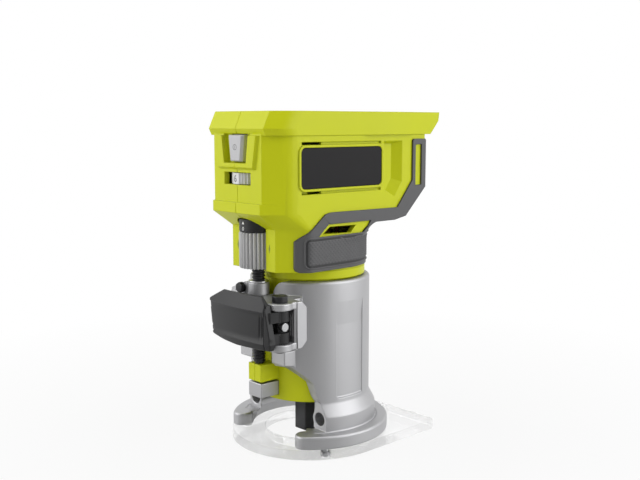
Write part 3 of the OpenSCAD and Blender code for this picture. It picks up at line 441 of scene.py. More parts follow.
LIME = Finish("lime_plastic", (0.6, 0.645, 0.006), 0.4, drift=0.02, gloss=0.25, soft_edge=0.7)
# Grip rubber: its near-black edge colour is a painted shadow in the gap along the rubber's edges.
RUBBER = Finish(
    "grip_rubber", (0.085, 0.085, 0.088), 0.55, *STIPPLE,
    worn=(0.02, 0.02, 0.022), wear=0.9, wear_reach=0.7, soft_edge=0.8,
)
PAD_RUBBER = Finish("grip_pad_rubber", (0.075, 0.075, 0.078), 0.45, *STIPPLE, slot="grip_rubber")
# Near-black strip under the groove round each grip pad: painted shade in the groove.
GROOVE_SHADE = Finish("grip_groove_rubber", (0.02, 0.02, 0.021), 0.6, *STIPPLE, slot="grip_rubber")
# Grey casting: its lighter edge colour is a painted highlight along the edges.
CASTING = Finish(
    "cast_grey", (0.44, 0.44, 0.45), 0.5, Grain.CAST, 1600.0, 0.05, 0.2,
    metallic=0.85, worn=(0.62, 0.62, 0.63), wear=0.4, wear_reach=0.5,
)
# Black plastic: its lighter edge colour is a painted highlight along the edges.
BLACK = Finish(
    "black_plastic", (0.018, 0.018, 0.019), 0.42, grain_strength=0.2,
    worn=(0.08, 0.08, 0.08), wear=0.5, gloss=0.3,
)
PANEL = Finish("panel_black", (0.012, 0.0115, 0.0125), 0.42, grain_strength=0.1, gloss=0.12)
KNOB_GREY = Finish("knob_grey", (0.5, 0.5, 0.505), 0.4)
# Lighter copy of the knob grey for the dial: painted light that offsets the shade of the dial's recess.
DIAL_LIT_GREY = Finish("dial_lit_grey", (0.72, 0.72, 0.73), 0.4, slot="knob_grey")
CONTROL_GREY = Finish("control_grey", (0.52, 0.52, 0.53), 0.4)
BRIGHT_STEEL = Finish("bright_steel", (0.62, 0.62, 0.63), 0.24, *TURNING, metallic=1.0)
DARK_STEEL = Finish(
    "dark_steel", (0.03, 0.03, 0.032), 0.36, *TURNING, metallic=0.6, worn=(0.25, 0.25, 0.25), wear=0.6
)
DULL_STEEL = Finish("dull_steel", (0.42, 0.42, 0.43), 0.4, *TURNING, metallic=0.9, slot="bright_steel")
BRASS = Finish("contact_brass", (0.7, 0.48, 0.2), 0.28, Grain.TURNED, 900.0, metallic=1.0)
COPPER = Finish("winding_copper", (0.62, 0.26, 0.12), 0.32, Grain.TURNED, 1400.0, 0.06, 0.5, metallic=1.0)
BOARD = Finish("board_green", (0.015, 0.14, 0.05), 0.32, grain_scale=500.0)
LEAD = Finish("lead_red", (0.42, 0.03, 0.02), 0.42)
MAGNET = Finish("magnet_grey", (0.06, 0.06, 0.065), 0.6, Grain.CAST, 1400.0, 0.05)
FIBRE = Finish("plate_tan", (0.42, 0.27, 0.13), 0.55, Grain.STIPPLED, 700.0, 0.05)
CARBON = Finish("carbon", (0.02, 0.02, 0.02), 0.7, Grain.CAST, 2000.0, 0.04)
SIGN_GREY = Finish("sign_grey", (0.14, 0.14, 0.145), 0.5, grain_strength=0.1, slot="control_grey")
# Darker lime for the cheek arrows: painted shade of marks that are cut into the lime.
LIME_MARK_SHADE = Finish("lime_mark_shade", (0.2, 0.24, 0.003), 0.5, slot="lime_plastic")
WHITE_PRINT = Finish("white_print", (0.82, 0.82, 0.82), 0.5, grain_strength=0.1, slot="knob_grey")
DARK_PRINT = Finish("dark_print", (0.02, 0.02, 0.022), 0.5, grain_strength=0.1, slot="black_plastic")
# Clear sub-base: its grey edge colour is painted shade for what the plate's edges reflect and refract.
CLEAR = ClearFinish("clear_plastic", (0.98, 0.985, 0.985), (0.6, 0.61, 0.62))


def span(node: str) -> tuple[Vector, Vector]:
    """Finds a solid's lowest and highest corner in millimetres."""
    low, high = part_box(node)
    return low / MM, high / MM


def solid_copy(node: str) -> BMesh:
    """Copies a solid's mesh, joined at its edges and with its flat faces made whole.

    Args:
        node: The solid's name.

    Returns:
        The copy, in millimetres.
    """
    bm = bmesh.new()
    bm.from_mesh(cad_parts[node].data)
    bmesh.ops.scale(bm, vec=Vector((1 / MM,) * 3), verts=bm.verts)
    bmesh.ops.remove_doubles(bm, verts=bm.verts, dist=MERGED)
    bmesh.ops.dissolve_limit(bm, angle_limit=math.radians(FLAT_TURN), verts=bm.verts, edges=bm.edges)
    return bm


def make_piece(
    bm: BMesh, name: str, body: str, finish: Surface, replaces: tuple[str, ...] = (), sharp: float = 36.0
) -> Object:
    """Turns a mesh in millimetres into a dressed object that rides on a body.

    Args:
        bm: The mesh, which is freed.
        name: The piece's name.
        body: The body that carries it.
        finish: Its finish.
        replaces: The solids that it stands for.
        sharp: Edges that turn by more than this many degrees stay crisp.

    Returns:
        The new object.
    """
    bmesh.ops.scale(bm, vec=Vector((MM,) * 3), verts=bm.verts)
    mesh = bpy.data.meshes.new(name)
    bm.to_mesh(mesh)
    bm.free()
    mesh.shade_smooth()
    mesh.set_sharp_from_angle(angle=math.radians(sharp))
    mesh.materials.append(finish.material())
    piece = bpy.data.objects.new(name, mesh)
    bpy.context.scene.collection.objects.link(piece)
    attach(piece, body)
    if replaces:
        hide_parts(*replaces)
    LOG.info("made %s on %s with %d faces", name, body, len(mesh.polygons))
    return piece


def round_edges(piece: Object, width: float, segments: int = 3) -> None:
    """Rounds a piece's marked edges with a Bevel modifier.

    Args:
        piece: The piece.
        width: The width of the rounding in millimetres.
        segments: Faces across the rounding.
    """
    bevel = piece.modifiers.new("rounded_edges", "BEVEL")
    bevel.width = width * MM
    bevel.segments = segments
    bevel.limit_method = "WEIGHT"
    bevel.use_clamp_overlap = False
    bevel.harden_normals = True
    bevel.miter_outer = "MITER_ARC"
    for _ in range(SETTLE_ROUNDS):
        if not spare_strays(piece, width) + spare_crossed(piece):
            break


def plain_and_rounded(piece: Object) -> tuple[BVHTree, Object]:
    """Prepares a look at how a piece's rounding lies on its plain mesh.

    Args:
        piece: A piece whose rounded edges are marked.

    Returns:
        A search tree of the plain mesh, and the piece with its modifiers worked out.
    """
    plain = bmesh.new()
    plain.from_mesh(piece.data)
    surface = BVHTree.FromBMesh(plain)
    plain.free()
    bpy.context.view_layer.update()
    return surface, piece.evaluated_get(bpy.context.evaluated_depsgraph_get())


def spare_crossed(piece: Object) -> int:
    """Takes the rounding off the edges of faces whose rounded outline crosses itself.

    Args:
        piece: A piece whose rounded edges are marked.

    Returns:
        How many edges lost their rounding.
    """
    mesh = piece.data
    surface, holder = plain_and_rounded(piece)
    shown = holder.to_mesh()
    shown.calc_loop_triangles()
    covered = [0.0] * len(shown.polygons)
    for part in shown.loop_triangles:
        covered[part.polygon_index] += part.area
    crossed = set()
    for face in shown.polygons:
        if len(face.vertices) > 4 and covered[face.index] > CROSSED_SHARE * face.area:
            nearest = [surface.find_nearest(shown.vertices[index].co) for index in face.vertices]
            crossed |= {found for _, normal, found, _ in nearest if abs(normal.dot(face.normal)) > LEVEL}
    holder.to_mesh_clear()
    weights = mesh.attributes["bevel_weight_edge"].data
    edges = {mesh.loops[loop].edge_index for face in crossed for loop in mesh.polygons[face].loop_indices}
    edges = {edge for edge in edges if weights[edge].value > 0}
    for edge in edges:
        weights[edge].value = 0
    return len(edges)


def spare_strays(piece: Object, width: float) -> int:
    """Takes the rounding off edges where it overruns the faces beside them.

    Args:
        piece: A piece whose rounded edges are marked.
        width: The full rounding in millimetres.

    Returns:
        How many points of the rounded piece were found astray.
    """
    mesh = piece.data
    surface, holder = plain_and_rounded(piece)
    stray = []
    for vert in holder.to_mesh().vertices:
        gap = surface.find_nearest(vert.co)[3]
        if gap > STRAY_SHARE * width * MM:
            stray.append((vert.co.copy(), gap + width * MM))
    holder.to_mesh_clear()
    weights = mesh.attributes["bevel_weight_edge"].data
    for edge in mesh.edges:
        if weights[edge.index].value == 0:
            continue
        one, two = (mesh.vertices[index].co for index in edge.vertices)
        for place, reach in stray:
            near, share = intersect_point_line(place, one, two)
            near = one if share < 0 else two if share > 1 else near
            if (near - place).length < reach:
                weights[edge.index].value = 0
                break
    return len(stray)


def edge_room(edge: BMEdge, rounded: set[BMEdge]) -> float:
    """Finds how far an edge can be rounded before it meets the ends of the edges beside it.

    Args:
        edge: The edge.
        rounded: All edges that are rounded.

    Returns:
        The room in millimetres.
    """
    room = math.inf
    for vert in edge.verts:
        along = (edge.other_vert(vert).co - vert.co).normalized()
        for side in vert.link_edges:
            if side in rounded:
                continue
            far = side.other_vert(vert)
            shared = any(link in rounded for link in far.link_edges)
            across = (far.co - vert.co).cross(along).length
            room = min(room, across * (SHARED_ROOM if shared else FREE_ROOM))
    return room


def run_of(edge: BMEdge, rounded: set[BMEdge]) -> set[BMEdge]:
    """Collects the run of rounded edges that goes on from an edge without a sharp turn.

    Args:
        edge: The edge to start from.
        rounded: All edges that are rounded.

    Returns:
        The run, with the edge itself.
    """
    run = {edge}
    open_ends = [edge]
    while open_ends:
        one = open_ends.pop()
        for vert in one.verts:
            along = (vert.co - one.other_vert(vert).co).normalized()
            for other in vert.link_edges:
                onward = (other.other_vert(vert).co - vert.co).normalized()
                if other in rounded and other not in run and along.dot(onward) > RUN_STRAIGHT:
                    run.add(other)
                    open_ends.append(other)
    return run


def on_seam(part: BMEdge | BMFace) -> bool:
    """Says whether an edge or a face lies on the parting plane."""
    return all(abs(vert.co.x) < SEAM_REACH for vert in part.verts)


def weigh_edges(bm: BMesh, crisp: float, width: float, which: Rounded) -> None:
    """Marks which edges of a solid's copy are rounded, each run as far as its faces have room.

    Args:
        bm: The mesh.
        crisp: Edges that turn by less than this many degrees are left alone.
        width: The full rounding in millimetres.
        which: The edges that are rounded.
    """
    if which is Rounded.SEAM:
        bmesh.ops.triangulate(bm, faces=[face for face in bm.faces if on_seam(face)])
    weight = bm.edges.layers.float.new("bevel_weight_edge")
    rounded = {
        edge
        for edge in bm.edges
        if len(edge.link_faces) == 2 and edge.calc_face_angle(0.0) > math.radians(crisp)
    }
    if which is Rounded.SEAM:
        rounded = {edge for edge in rounded if on_seam(edge)}
    elif which is Rounded.OUTER:
        rounded = {edge for edge in rounded if edge.is_convex}
    room = {edge: edge_room(edge, rounded) for edge in rounded}
    rounded = {edge for edge in rounded if room[edge] > LEAST_ROOM * width}
    waiting = set(rounded)
    while waiting:
        run = run_of(next(iter(waiting)), rounded)
        waiting -= run
        share = min(1.0, min(room[edge] for edge in run) / width)
        for edge in run:
            edge[weight] = share


def soft_solid(
    node: str,
    body: str,
    finish: Surface,
    width: float,
    which: Rounded = Rounded.ALL,
    crisp: float = CRISP,
    shape: Callable[[BMesh], None] | None = None,
) -> None:
    """Dresses a solid as a copy of itself with rounded edges.

    Args:
        node: The solid's name.
        body: The body that carries it.
        finish: Its finish.
        width: The rounding in millimetres, or 0 where the finish alone softens the edges.
        which: The edges that are rounded.
        crisp: Edges that turn by less than this many degrees are left smooth.
        shape: What changes the copy before its edges are rounded.
    """
    bm = solid_copy(node)
    if shape:
        shape(bm)
    if width:
        weigh_edges(bm, crisp, width, which)
    piece = make_piece(bm, f"{node}_shape", body, finish, (node,), crisp)
    if width:
        round_edges(piece, width)
    even = piece.modifiers.new("even_normals", "WEIGHTED_NORMAL")
    even.keep_sharp = True


def soft_solids(body: str, fittings: Fittings) -> None:
    """Dresses the fittings of one body with rounded edges."""
    for node, finish, width in fittings:
        soft_solid(node, body, finish, width)


def cut(bm: BMesh, axis: int, place: float, parts: list | None = None) -> None:
    """Cuts a mesh along a plane square to an axis.

    Args:
        bm: The mesh.
        axis: 0, 1 or 2 for X, Y or Z.
        place: Where the plane crosses that axis.
        parts: What is cut, or None for the whole mesh.
    """
    normal = Vector([float(i == axis) for i in range(3)])
    geom = parts or [*bm.verts, *bm.edges, *bm.faces]
    bmesh.ops.bisect_plane(bm, geom=geom, dist=CUT_REACH, plane_co=normal * place, plane_no=normal)


def move(bm: BMesh, x: float, y: float, z: float) -> None:
    """Moves a whole mesh."""
    bmesh.ops.translate(bm, vec=Vector((x, y, z)), verts=bm.verts)


def stand_up(bm: BMesh) -> None:
    """Turns a sign that lies in X and Y up into X and Z."""
    bmesh.ops.rotate(bm, matrix=Matrix.Rotation(math.pi / 2, 3, "X"), verts=bm.verts)


def turn_out(bm: BMesh) -> None:
    """Turns every face outwards."""
    bmesh.ops.recalc_face_normals(bm, faces=bm.faces)


def close_up(bm: BMesh) -> None:
    """Merges doubles and turns every face outwards."""
    bmesh.ops.remove_doubles(bm, verts=bm.verts, dist=MERGED / 2)
    turn_out(bm)


def lift(bm: BMesh, faces: list[BMFace], step: Place, grow: float = 1.0, keep: bool = False) -> list[BMFace]:
    """Extrudes a region of faces.

    Args:
        bm: The mesh.
        faces: The region.
        step: How far it moves.
        grow: How far it is scaled about Z after that.
        keep: Whether the region also stays where it was.

    Returns:
        The moved faces.
    """
    made = bmesh.ops.extrude_face_region(bm, geom=faces)["geom"]
    if not keep:
        bmesh.ops.delete(bm, geom=faces, context="FACES_ONLY")
    verts = [item for item in made if isinstance(item, BMVert)]
    bmesh.ops.translate(bm, vec=Vector(step), verts=verts)
    bmesh.ops.scale(bm, vec=Vector((grow, grow, 1)), verts=verts)
    return [item for item in made if isinstance(item, BMFace)]


def add_rod(bm: BMesh, radius: float, low: float, high: float, segments: int = 32) -> None:
    """Adds an upright rod round Z to a mesh, from one height to another."""
    rod = bmesh.ops.create_cone(
        bm, cap_ends=True, segments=segments, radius1=radius, radius2=radius, depth=high - low
    )
    bmesh.ops.translate(bm, vec=Vector((0, 0, (low + high) / 2)), verts=rod["verts"])


def glyph(text: str, size: float, depth: float = 0.12) -> BMesh:
    """Makes a plain printed sign that lies in X and Z and is raised towards -Y.

    Args:
        text: The sign.
        size: Its height in millimetres.
        depth: How far it is raised.

    Returns:
        The mesh, centred on the origin.
    """
    curve = bpy.data.curves.new("sign", "FONT")
    curve.body = text
    curve.size = size * DIGIT_SCALE
    curve.resolution_u = 6
    curve.extrude = depth / 2
    holder = bpy.data.objects.new("sign", curve)
    mesh = bpy.data.meshes.new_from_object(holder)
    bm = bmesh.new()
    bm.from_mesh(mesh)
    bpy.data.objects.remove(holder)
    bpy.data.curves.remove(curve)
    bpy.data.meshes.remove(mesh)
    low, high = (Vector([end(vert.co[i] for vert in bm.verts) for i in range(3)]) for end in (min, max))
    middle = (low + high) / 2
    for vert in bm.verts:
        place = vert.co - middle
        vert.co = Vector((place.x, -place.z, place.y))
    return bm


def wrap(bm: BMesh, centre: Vector, radius: float, turn: float) -> None:
    """Bends a flat sign round an upright cylinder.

    Args:
        bm: The sign, which lies in X and Z.
        centre: A point on the cylinder's axis, at the height of the sign's middle.
        radius: The cylinder's radius.
        turn: Where the sign goes, as an angle in degrees from -Y towards +X.
    """
    for vert in bm.verts:
        angle = math.radians(turn) + vert.co.x / radius
        reach = radius - vert.co.y
        vert.co = centre + Vector((reach * math.sin(angle), -reach * math.cos(angle), vert.co.z))


def front_of(nodes: tuple[str, ...], x: float, z: float) -> float:
    """Finds the front face of some solids at a place.

    Args:
        nodes: The solids.
        x: The place's X in millimetres.
        z: The place's Z in millimetres.

    Returns:
        The Y of the first face that is met from the front, in millimetres.
    """
    ahead = CAD_BOX[0][1] / MM - 1.0
    hits = []
    for node in nodes:
        bm = solid_copy(node)
        hit = BVHTree.FromBMesh(bm).ray_cast(Vector((x, ahead, z)), Vector((0, 1, 0)))[0]
        bm.free()
        if hit:
            hits.append(hit.y)
    return min(hits)


@dataclass
class Studio:
    """Camera at the photograph's viewing angle, soft lights and a pale floor, all in metres."""

    camera_place: Place = (0.41253, -0.37445, 0.198)
    camera_turn: tuple[float, float] = (82.522, 47.1085)
    camera_lens: float = 50.376
    sensor: float = 36.0
    clip_start: float = 0.01
    light_size: float = 1.2
    lights: tuple[tuple[str, Place, float], ...] = (
        ("front_softbox", (-0.55, -0.95, 0.6), 10.5),
        ("right_softbox", (1.0, 0.5, 0.5), 10.0),
        ("top_softbox", (0.0, 0.1, 1.3), 5.0),
    )
    target: Place = (0.0, 0.0, 0.11)
    floor_half: float = 40.0
    floor_z: float = -0.0002
    floor_tone: float = 0.55
    floor_roughness: float = 0.9
    floor_glow: float = 0.9
    fade_from: float = 0.12
    fade_to: float = 0.4
    even_light: float = 0.3
    dim_side: Place = (0.55, -0.83, 0.0)
    dim_from: float = 0.2
    dim_to: float = 0.85
    dim_strength: float = 0.05

    def build(self) -> None:
        """Builds the camera, the floor, the world and the lights."""
        self._camera()
        self._floor()
        self._world()
        for name, place, power in self.lights:
            self._softbox(name, place, power)
        bpy.context.scene.view_settings.view_transform = "Standard"

    def _camera(self) -> None:
        """Places the camera."""
        data = bpy.data.cameras.new("camera")
        data.sensor_width = self.sensor
        data.lens = self.camera_lens
        data.clip_start = self.clip_start
        camera = bpy.data.objects.new("camera", data)
        camera.location = self.camera_place
        tilt, turn = (math.radians(angle) for angle in self.camera_turn)
        camera.rotation_euler = (tilt, 0, turn)
        bpy.context.scene.collection.objects.link(camera)
        bpy.context.scene.camera = camera

    def _softbox(self, name: str, place: Place, power: float) -> None:
        """Places one square area light that faces the tool.

        Args:
            name: The light's name.
            place: Where it stands.
            power: Its power in watts.
        """
        data = bpy.data.lights.new(name, "AREA")
        data.size = self.light_size
        data.energy = power
        light = bpy.data.objects.new(name, data)
        light.location = place
        light.rotation_euler = (Vector(self.target) - Vector(place)).to_track_quat("-Z", "Y").to_euler()
        bpy.context.scene.collection.objects.link(light)

    def _floor(self) -> None:
        """Lays a pale floor that keeps the tool's shadow.

        It turns white farther away, and from below it is clear.
        """
        bm = bmesh.new()
        bmesh.ops.create_grid(bm, x_segments=2, y_segments=2, size=self.floor_half)
        move(bm, 0, 0, self.floor_z)
        mesh = bpy.data.meshes.new("floor")
        bm.to_mesh(mesh)
        bm.free()
        material = bpy.data.materials.new("floor_white")
        material.use_nodes = True
        nodes = material.node_tree.nodes
        bench = NodeBench(material.node_tree)
        tone = (*(self.floor_tone,) * 3, 1.0)
        matt = bench.feed(nodes["Principled BSDF"], Base_Color=tone, Roughness=self.floor_roughness)
        place = bench.place("TexCoord").outputs["Object"]
        reach = bench.place("VectorMath", place, operation="LENGTH").outputs["Value"]
        fade = bench.place("MapRange", Value=reach, From_Min=self.fade_from, From_Max=self.fade_to)
        bench.feed(fade, To_Min=self.floor_glow, To_Max=1.0)
        share = bench.math("MULTIPLY", self._seen(bench, place), fade.outputs["Result"])
        glow = bench.place("Emission", Strength=1.0).outputs["Emission"]
        above = bench.place("MixShader", share, matt.outputs["BSDF"], glow).outputs["Shader"]
        below = bench.place("BsdfTransparent").outputs["BSDF"]
        back = bench.place("NewGeometry").outputs["Backfacing"]
        faces = bench.place("MixShader", back, above, below)
        bench.feed(nodes["Material Output"], Surface=faces.outputs["Shader"])
        mesh.materials.append(material)
        floor = bpy.data.objects.new("floor", mesh)
        bpy.context.scene.collection.objects.link(floor)

    def _seen(self, bench: NodeBench, place: NodeSocket) -> NodeSocket:
        """Gives a mask of the rays that see the white background.

        Args:
            bench: The bench of the world or of the floor's material.
            place: The direction or place that a ray meets.

        Returns:
            1 for camera and transmission rays; for glossy rays 1 behind the tool, less in front of it.
        """
        facing = bench.place("VectorMath", place, operation="NORMALIZE").outputs["Vector"]
        front = Vector(self.dim_side).normalized()
        ahead = bench.place("VectorMath", facing, front, operation="DOT_PRODUCT")
        dim = bench.place("MapRange", Value=ahead.outputs["Value"], From_Min=self.dim_from)
        bench.feed(dim, From_Max=self.dim_to, To_Min=1.0, To_Max=self.dim_strength)
        dim.interpolation_type = "SMOOTHSTEP"
        path = bench.place("LightPath").outputs
        through = bench.math("MAXIMUM", path["Is Camera Ray"], path["Is Transmission Ray"])
        shine = bench.math("MULTIPLY", path["Is Glossy Ray"], dim.outputs["Result"])
        return bench.math("MAXIMUM", through, shine)

    def _world(self) -> None:
        """Sets a white background, a dimmer room in front of the tool and a lower even light on it."""
        world = bpy.data.worlds.new("studio_world")
        bpy.context.scene.world = world
        world.use_nodes = True
        bench = NodeBench(world.node_tree)
        seen = self._seen(bench, bench.place("TexCoord").outputs["Generated"])
        strength = bench.math("MAXIMUM", seen, self.even_light)
        bench.feed(world.node_tree.nodes["Background"], Color=(1.0, 1.0, 1.0, 1.0), Strength=strength)


@dataclass
class Housing:
    """The two lime housing halves and the panels on their sides."""

    seam: float = 0.35
    crisp: float = 18.0
    panels: Fittings = (("nameplate_left", PANEL, 0.3), ("nameplate_right", PANEL, 0.3))

    def build(self) -> None:
        """Builds both halves and both panels."""
        for half in ("housing_left", "housing_right"):
            soft_solid(half, "motor_unit", LIME, self.seam, Rounded.SEAM, self.crisp)
        soft_solids("motor_unit", self.panels)


@dataclass
class Grips:
    """The rubber grips with a diamond pad round the neck on each side."""

    crisp: float = 18.0
    corner_x: float = 28.0
    corner_y: float = -28.5
    corner_r: float = 7.15
    corner_turn: float = 36.0
    back_r: float = 35.15
    back_turn: float = 86.0
    pad_low: float = 115.2
    pad_high: float = 130.2
    pad_corner: float = 2.0
    corner_steps: int = 5
    outline_step: float = 1.4
    flare_z: float = 126.0
    flare_r: float = 14.0
    side_x: float = 35.35
    pad_proud: float = 0.12
    pad_sink: float = 0.4
    pad_sharp: float = 80.0
    diamond: float = 2.6
    relief: float = 0.5
    samples: int = 4
    groove: Profile = ((-0.5, 0.02), (0.1, 0.02), (0.75, 0.02))
    shoulder: Profile = ((0.7, 0.0), (0.8, 0.45), (1.05, 0.62), (1.35, 0.55), (1.65, 0.3), (1.9, -0.05))
    border_sharp: float = 60.0

    def build(self) -> None:
        """Builds both grips, their pads and the strips round the pads."""
        for side in Side:
            end = side.name.lower()
            soft_solid(f"grip_{end}", "motor_unit", RUBBER, 0.0, crisp=self.crisp)
            self._pad(side, f"grip_pad_{end}")
            # The groove strip is near-black: painted shade in the groove round the pad.
            self._border(side, f"grip_groove_{end}", self.groove, GROOVE_SHADE)
            self._border(side, f"grip_shoulder_{end}", self.shoulder, RUBBER)

    def _place(self, side: Side, along: float, out: float, height: float) -> Vector:
        """Finds a point of the pad's path: front corner, flat side, round back.

        Args:
            side: The side it is on.
            along: The length of the path up to the point.
            out: How far the point stands out from the rubber.
            height: The point's Z.

        Returns:
            The point.
        """
        corner = math.radians(self.corner_turn)
        bend = corner * self.corner_r
        rest = along - bend + self.corner_y
        rise = max(0.0, height - self.flare_z)
        reach = self.back_r + self.flare_r - math.sqrt(self.flare_r**2 - rise**2)
        if along < bend:
            turn = max(along, 0.0) / self.corner_r - corner
            away = Vector((math.cos(turn), math.sin(turn)))
            ahead = Vector((-away.y, away.x)) * min(along, 0.0)
            spot = Vector((self.corner_x, self.corner_y)) + away * (self.corner_r + out) + ahead
        elif rest < 0:
            wide = max(self.back_r, min(math.sqrt(reach**2 - rest**2), self.side_x))
            spot = Vector((wide + out, rest))
        else:
            turn = rest / self.back_r
            reach += out
            spot = Vector((min(reach * math.cos(turn), self.side_x + out), reach * math.sin(turn)))
        return Vector((side.value * spot.x, spot.y, height))

    def _pad(self, side: Side, name: str) -> None:
        """Builds one diamond pad, bent round the neck.

        Args:
            side: The side it is on.
            name: The piece's name.
        """
        size = Vector((self._length(), self.pad_high - self.pad_low))
        columns, rows = (round(length / self.diamond) * self.samples for length in size)
        wave = 2 * math.pi / self.samples
        bm = bmesh.new()
        bmesh.ops.create_grid(bm, x_segments=columns, y_segments=rows, size=0.5)
        for vert in bm.verts:
            share = vert.co.to_2d() + Vector((0.5, 0.5))
            past = [max((abs(share[i] - 0.5) - 0.5) * size[i] + self.pad_corner, 0.0) for i in range(2)]
            bump = math.cos(wave * share.x * columns) * math.cos(wave * share.y * rows)
            edge = math.hypot(*past) > self.pad_corner - self.pad_proud
            out = -self.pad_sink if edge else self.pad_proud + self.relief * bump
            vert.co = self._place(side, share.x * size.x, out, self.pad_low + share.y * size.y)
        self._face_out(bm)
        make_piece(bm, name, "motor_unit", PAD_RUBBER, sharp=self.pad_sharp)

    def _length(self) -> float:
        """Gives the length of a pad along its path."""
        bends = self.corner_turn * self.corner_r + self.back_turn * self.back_r
        return math.radians(bends) - self.corner_y

    def _outline(self) -> list[tuple[Vector, Vector]]:
        """Lists the points of a pad's rounded outline, each with its way out of the pad.

        Returns:
            Points of length along the path and height, with unit vectors.
        """
        low = Vector((self.pad_corner, self.pad_low + self.pad_corner))
        high = Vector((self._length() - self.pad_corner, self.pad_high - self.pad_corner))
        centres = (low, Vector((high.x, low.y)), high, Vector((low.x, high.y)))
        outline = []
        for quarter, centre in enumerate(centres):
            for step in range(self.corner_steps + 1):
                turn = math.pi / 2 * (quarter + 2 + step / self.corner_steps)
                away = Vector((math.cos(turn), math.sin(turn)))
                outline.append((centre + self.pad_corner * away, away))
            foot, away = outline[-1]
            run = centres[(quarter + 1) % 4] - centre
            parts = max(1, round(run.length / self.outline_step))
            outline += [(foot + run * part / parts, away) for part in range(1, parts)]
        return outline

    def _border(self, side: Side, name: str, profile: Profile, finish: Finish) -> None:
        """Builds a closed strip round one pad.

        Args:
            side: The side it is on.
            name: The piece's name.
            profile: For each row of the strip, how far outside the pad it lies and how far it stands out.
            finish: The strip's finish.
        """
        outline = self._outline()
        rows = len(profile) - 1
        bm = bmesh.new()
        bmesh.ops.create_grid(bm, x_segments=len(outline), y_segments=rows, size=0.5)
        for vert in bm.verts:
            across, out = profile[round((vert.co.y + 0.5) * rows)]
            foot, away = outline[round((vert.co.x + 0.5) * len(outline)) % len(outline)]
            spot = foot + across * away
            vert.co = self._place(side, spot.x, out, spot.y)
        self._face_out(bm)
        make_piece(bm, name, "motor_unit", finish, sharp=self.border_sharp)

    @staticmethod
    def _face_out(bm: BMesh) -> None:
        """Closes up a sheet round the neck and lets it face away from the axis."""
        close_up(bm)
        lean = 0.0
        for face in bm.faces:
            centre = face.calc_center_median()
            lean += face.calc_area() * face.normal.dot(Vector((centre.x, centre.y, 0)))
        if lean < 0:
            bmesh.ops.reverse_faces(bm, faces=bm.faces)


@dataclass
class Base:
    """The grey casting, the clear sub-base and their screws."""

    casting_edge: float = 0.8
    casting_crisp: float = 20.0
    fittings: Fittings = (
        ("sub_base", CLEAR, 0.6),
        ("sub_base_screws", DULL_STEEL, 0.2),
        ("feed_nut", BRIGHT_STEEL, 0.3),
        ("feed_nut_screw", DARK_STEEL, 0.4),
    )
    barrel_r: float = 37.5
    panel_depth: float = 0.8
    panel_left: float = 0.03
    panel_top: float = 92.0
    run_out: float = 14.0

    def build(self) -> None:
        """Builds the casting, the sub-base and the small pieces fixed to them."""
        shape = self._run_out_panels
        soft_solid("base_casting", "base", CASTING, self.casting_edge, crisp=self.casting_crisp, shape=shape)
        soft_solids("base", self.fittings)

    def _run_out_panels(self, bm: BMesh) -> None:
        """Lets the sunk panels of the barrel run out towards their upper end.

        Args:
            bm: A copy of the casting.
        """
        sunk = self.barrel_r - self.panel_depth
        floors = [
            face
            for face in bm.faces
            if all(abs(vert.co.to_2d().length - sunk) < NEAR for vert in face.verts)
        ]
        parts = dict.fromkeys(item for face in floors for item in (*face.verts, *face.edges, face))
        cut(bm, 2, self.panel_top - self.run_out, list(parts))
        for vert in bm.verts:
            reach = vert.co.to_2d().length
            if abs(reach - sunk) < NEAR and abs(vert.co.z - self.panel_top) < NEAR:
                grow = (self.barrel_r - self.panel_left) / reach
                vert.co = Vector((vert.co.x * grow, vert.co.y * grow, vert.co.z))


@dataclass
class ClampLever:
    """The cam lever with its bowed plate, and the pin and bolt that it works on."""

    edge: float = 0.7
    sharp: float = 24.0
    fittings: Fittings = (
        ("lever_pin", DARK_STEEL, 0.5),
        ("clamp_bolt", DULL_STEEL, 0.3),
        ("thrust_washer", DARK_STEEL, 0.2),
    )
    bow_x: float = 5.0
    bow_r: float = 164.2
    bow_reach: float = 0.15
    strip_high: float = 8.4
    strip_fall: float = 2.6
    strip_bend: float = 1.2
    lip_high: float = 4.2
    lip_fall: float = 1.2
    panel_sink: float = 0.6
    panel_slope: float = 0.6
    panel_end: float = 1.0
    groove_depth: float = 1.1
    groove_half: float = 0.5
    groove_slope: float = 1.0
    long_groove: float = 29.4
    short_grooves: tuple[float, float] = (25.6, 27.4)
    short_span: tuple[float, float] = (77.0, 89.0)

    def build(self) -> None:
        """Builds the lever and dresses the pin, the bolt and the washer."""
        self._lever()
        soft_solids("base", self.fittings)

    def _lever(self) -> None:
        """Shapes the front of the lever: strips along its long edges and grooves near its end."""
        low, high = span("clamp_lever")
        strip, lip = high.z - self.strip_high, low.z + self.lip_high
        grooves = (*self.short_grooves, self.long_groove)
        start, end = self.short_span
        bm = solid_copy("clamp_lever")
        weigh_edges(bm, CRISP, self.edge, Rounded.ALL)
        for height in (strip, strip - self.panel_slope, lip, lip + self.panel_slope):
            cut(bm, 2, height)
        for height in (start, end, start + self.groove_slope, end - self.groove_slope):
            cut(bm, 2, height)
        for groove in grooves:
            for step in (-self.groove_half, 0.0, self.groove_half):
                cut(bm, 0, groove + step)
        for vert in bm.verts:
            x, z = vert.co.x, vert.co.z
            front = low.y + self.bow_r - math.sqrt(self.bow_r**2 - (x - self.bow_x) ** 2)
            if abs(vert.co.y - front) > self.bow_reach:
                continue
            vert.co.y += self.strip_fall * max(0.0, (z - strip) / self.strip_high) ** self.strip_bend
            vert.co.y += self.lip_fall * max(0.0, (lip - z) / self.lip_high)
            slope = self.panel_slope / 2
            if lip + slope < z < strip - slope and x < self.long_groove - self.panel_end:
                vert.co.y += self.panel_sink
            if min(abs(x - groove) for groove in grooves) < NEAR:
                slope = self.groove_slope / 2
                if start + slope < z < end - slope or abs(x - self.long_groove) < NEAR:
                    vert.co.y += self.groove_depth
        piece = make_piece(bm, "clamp_lever_shape", "clamp_lever", BLACK, ("clamp_lever",), self.sharp)
        round_edges(piece, self.edge)


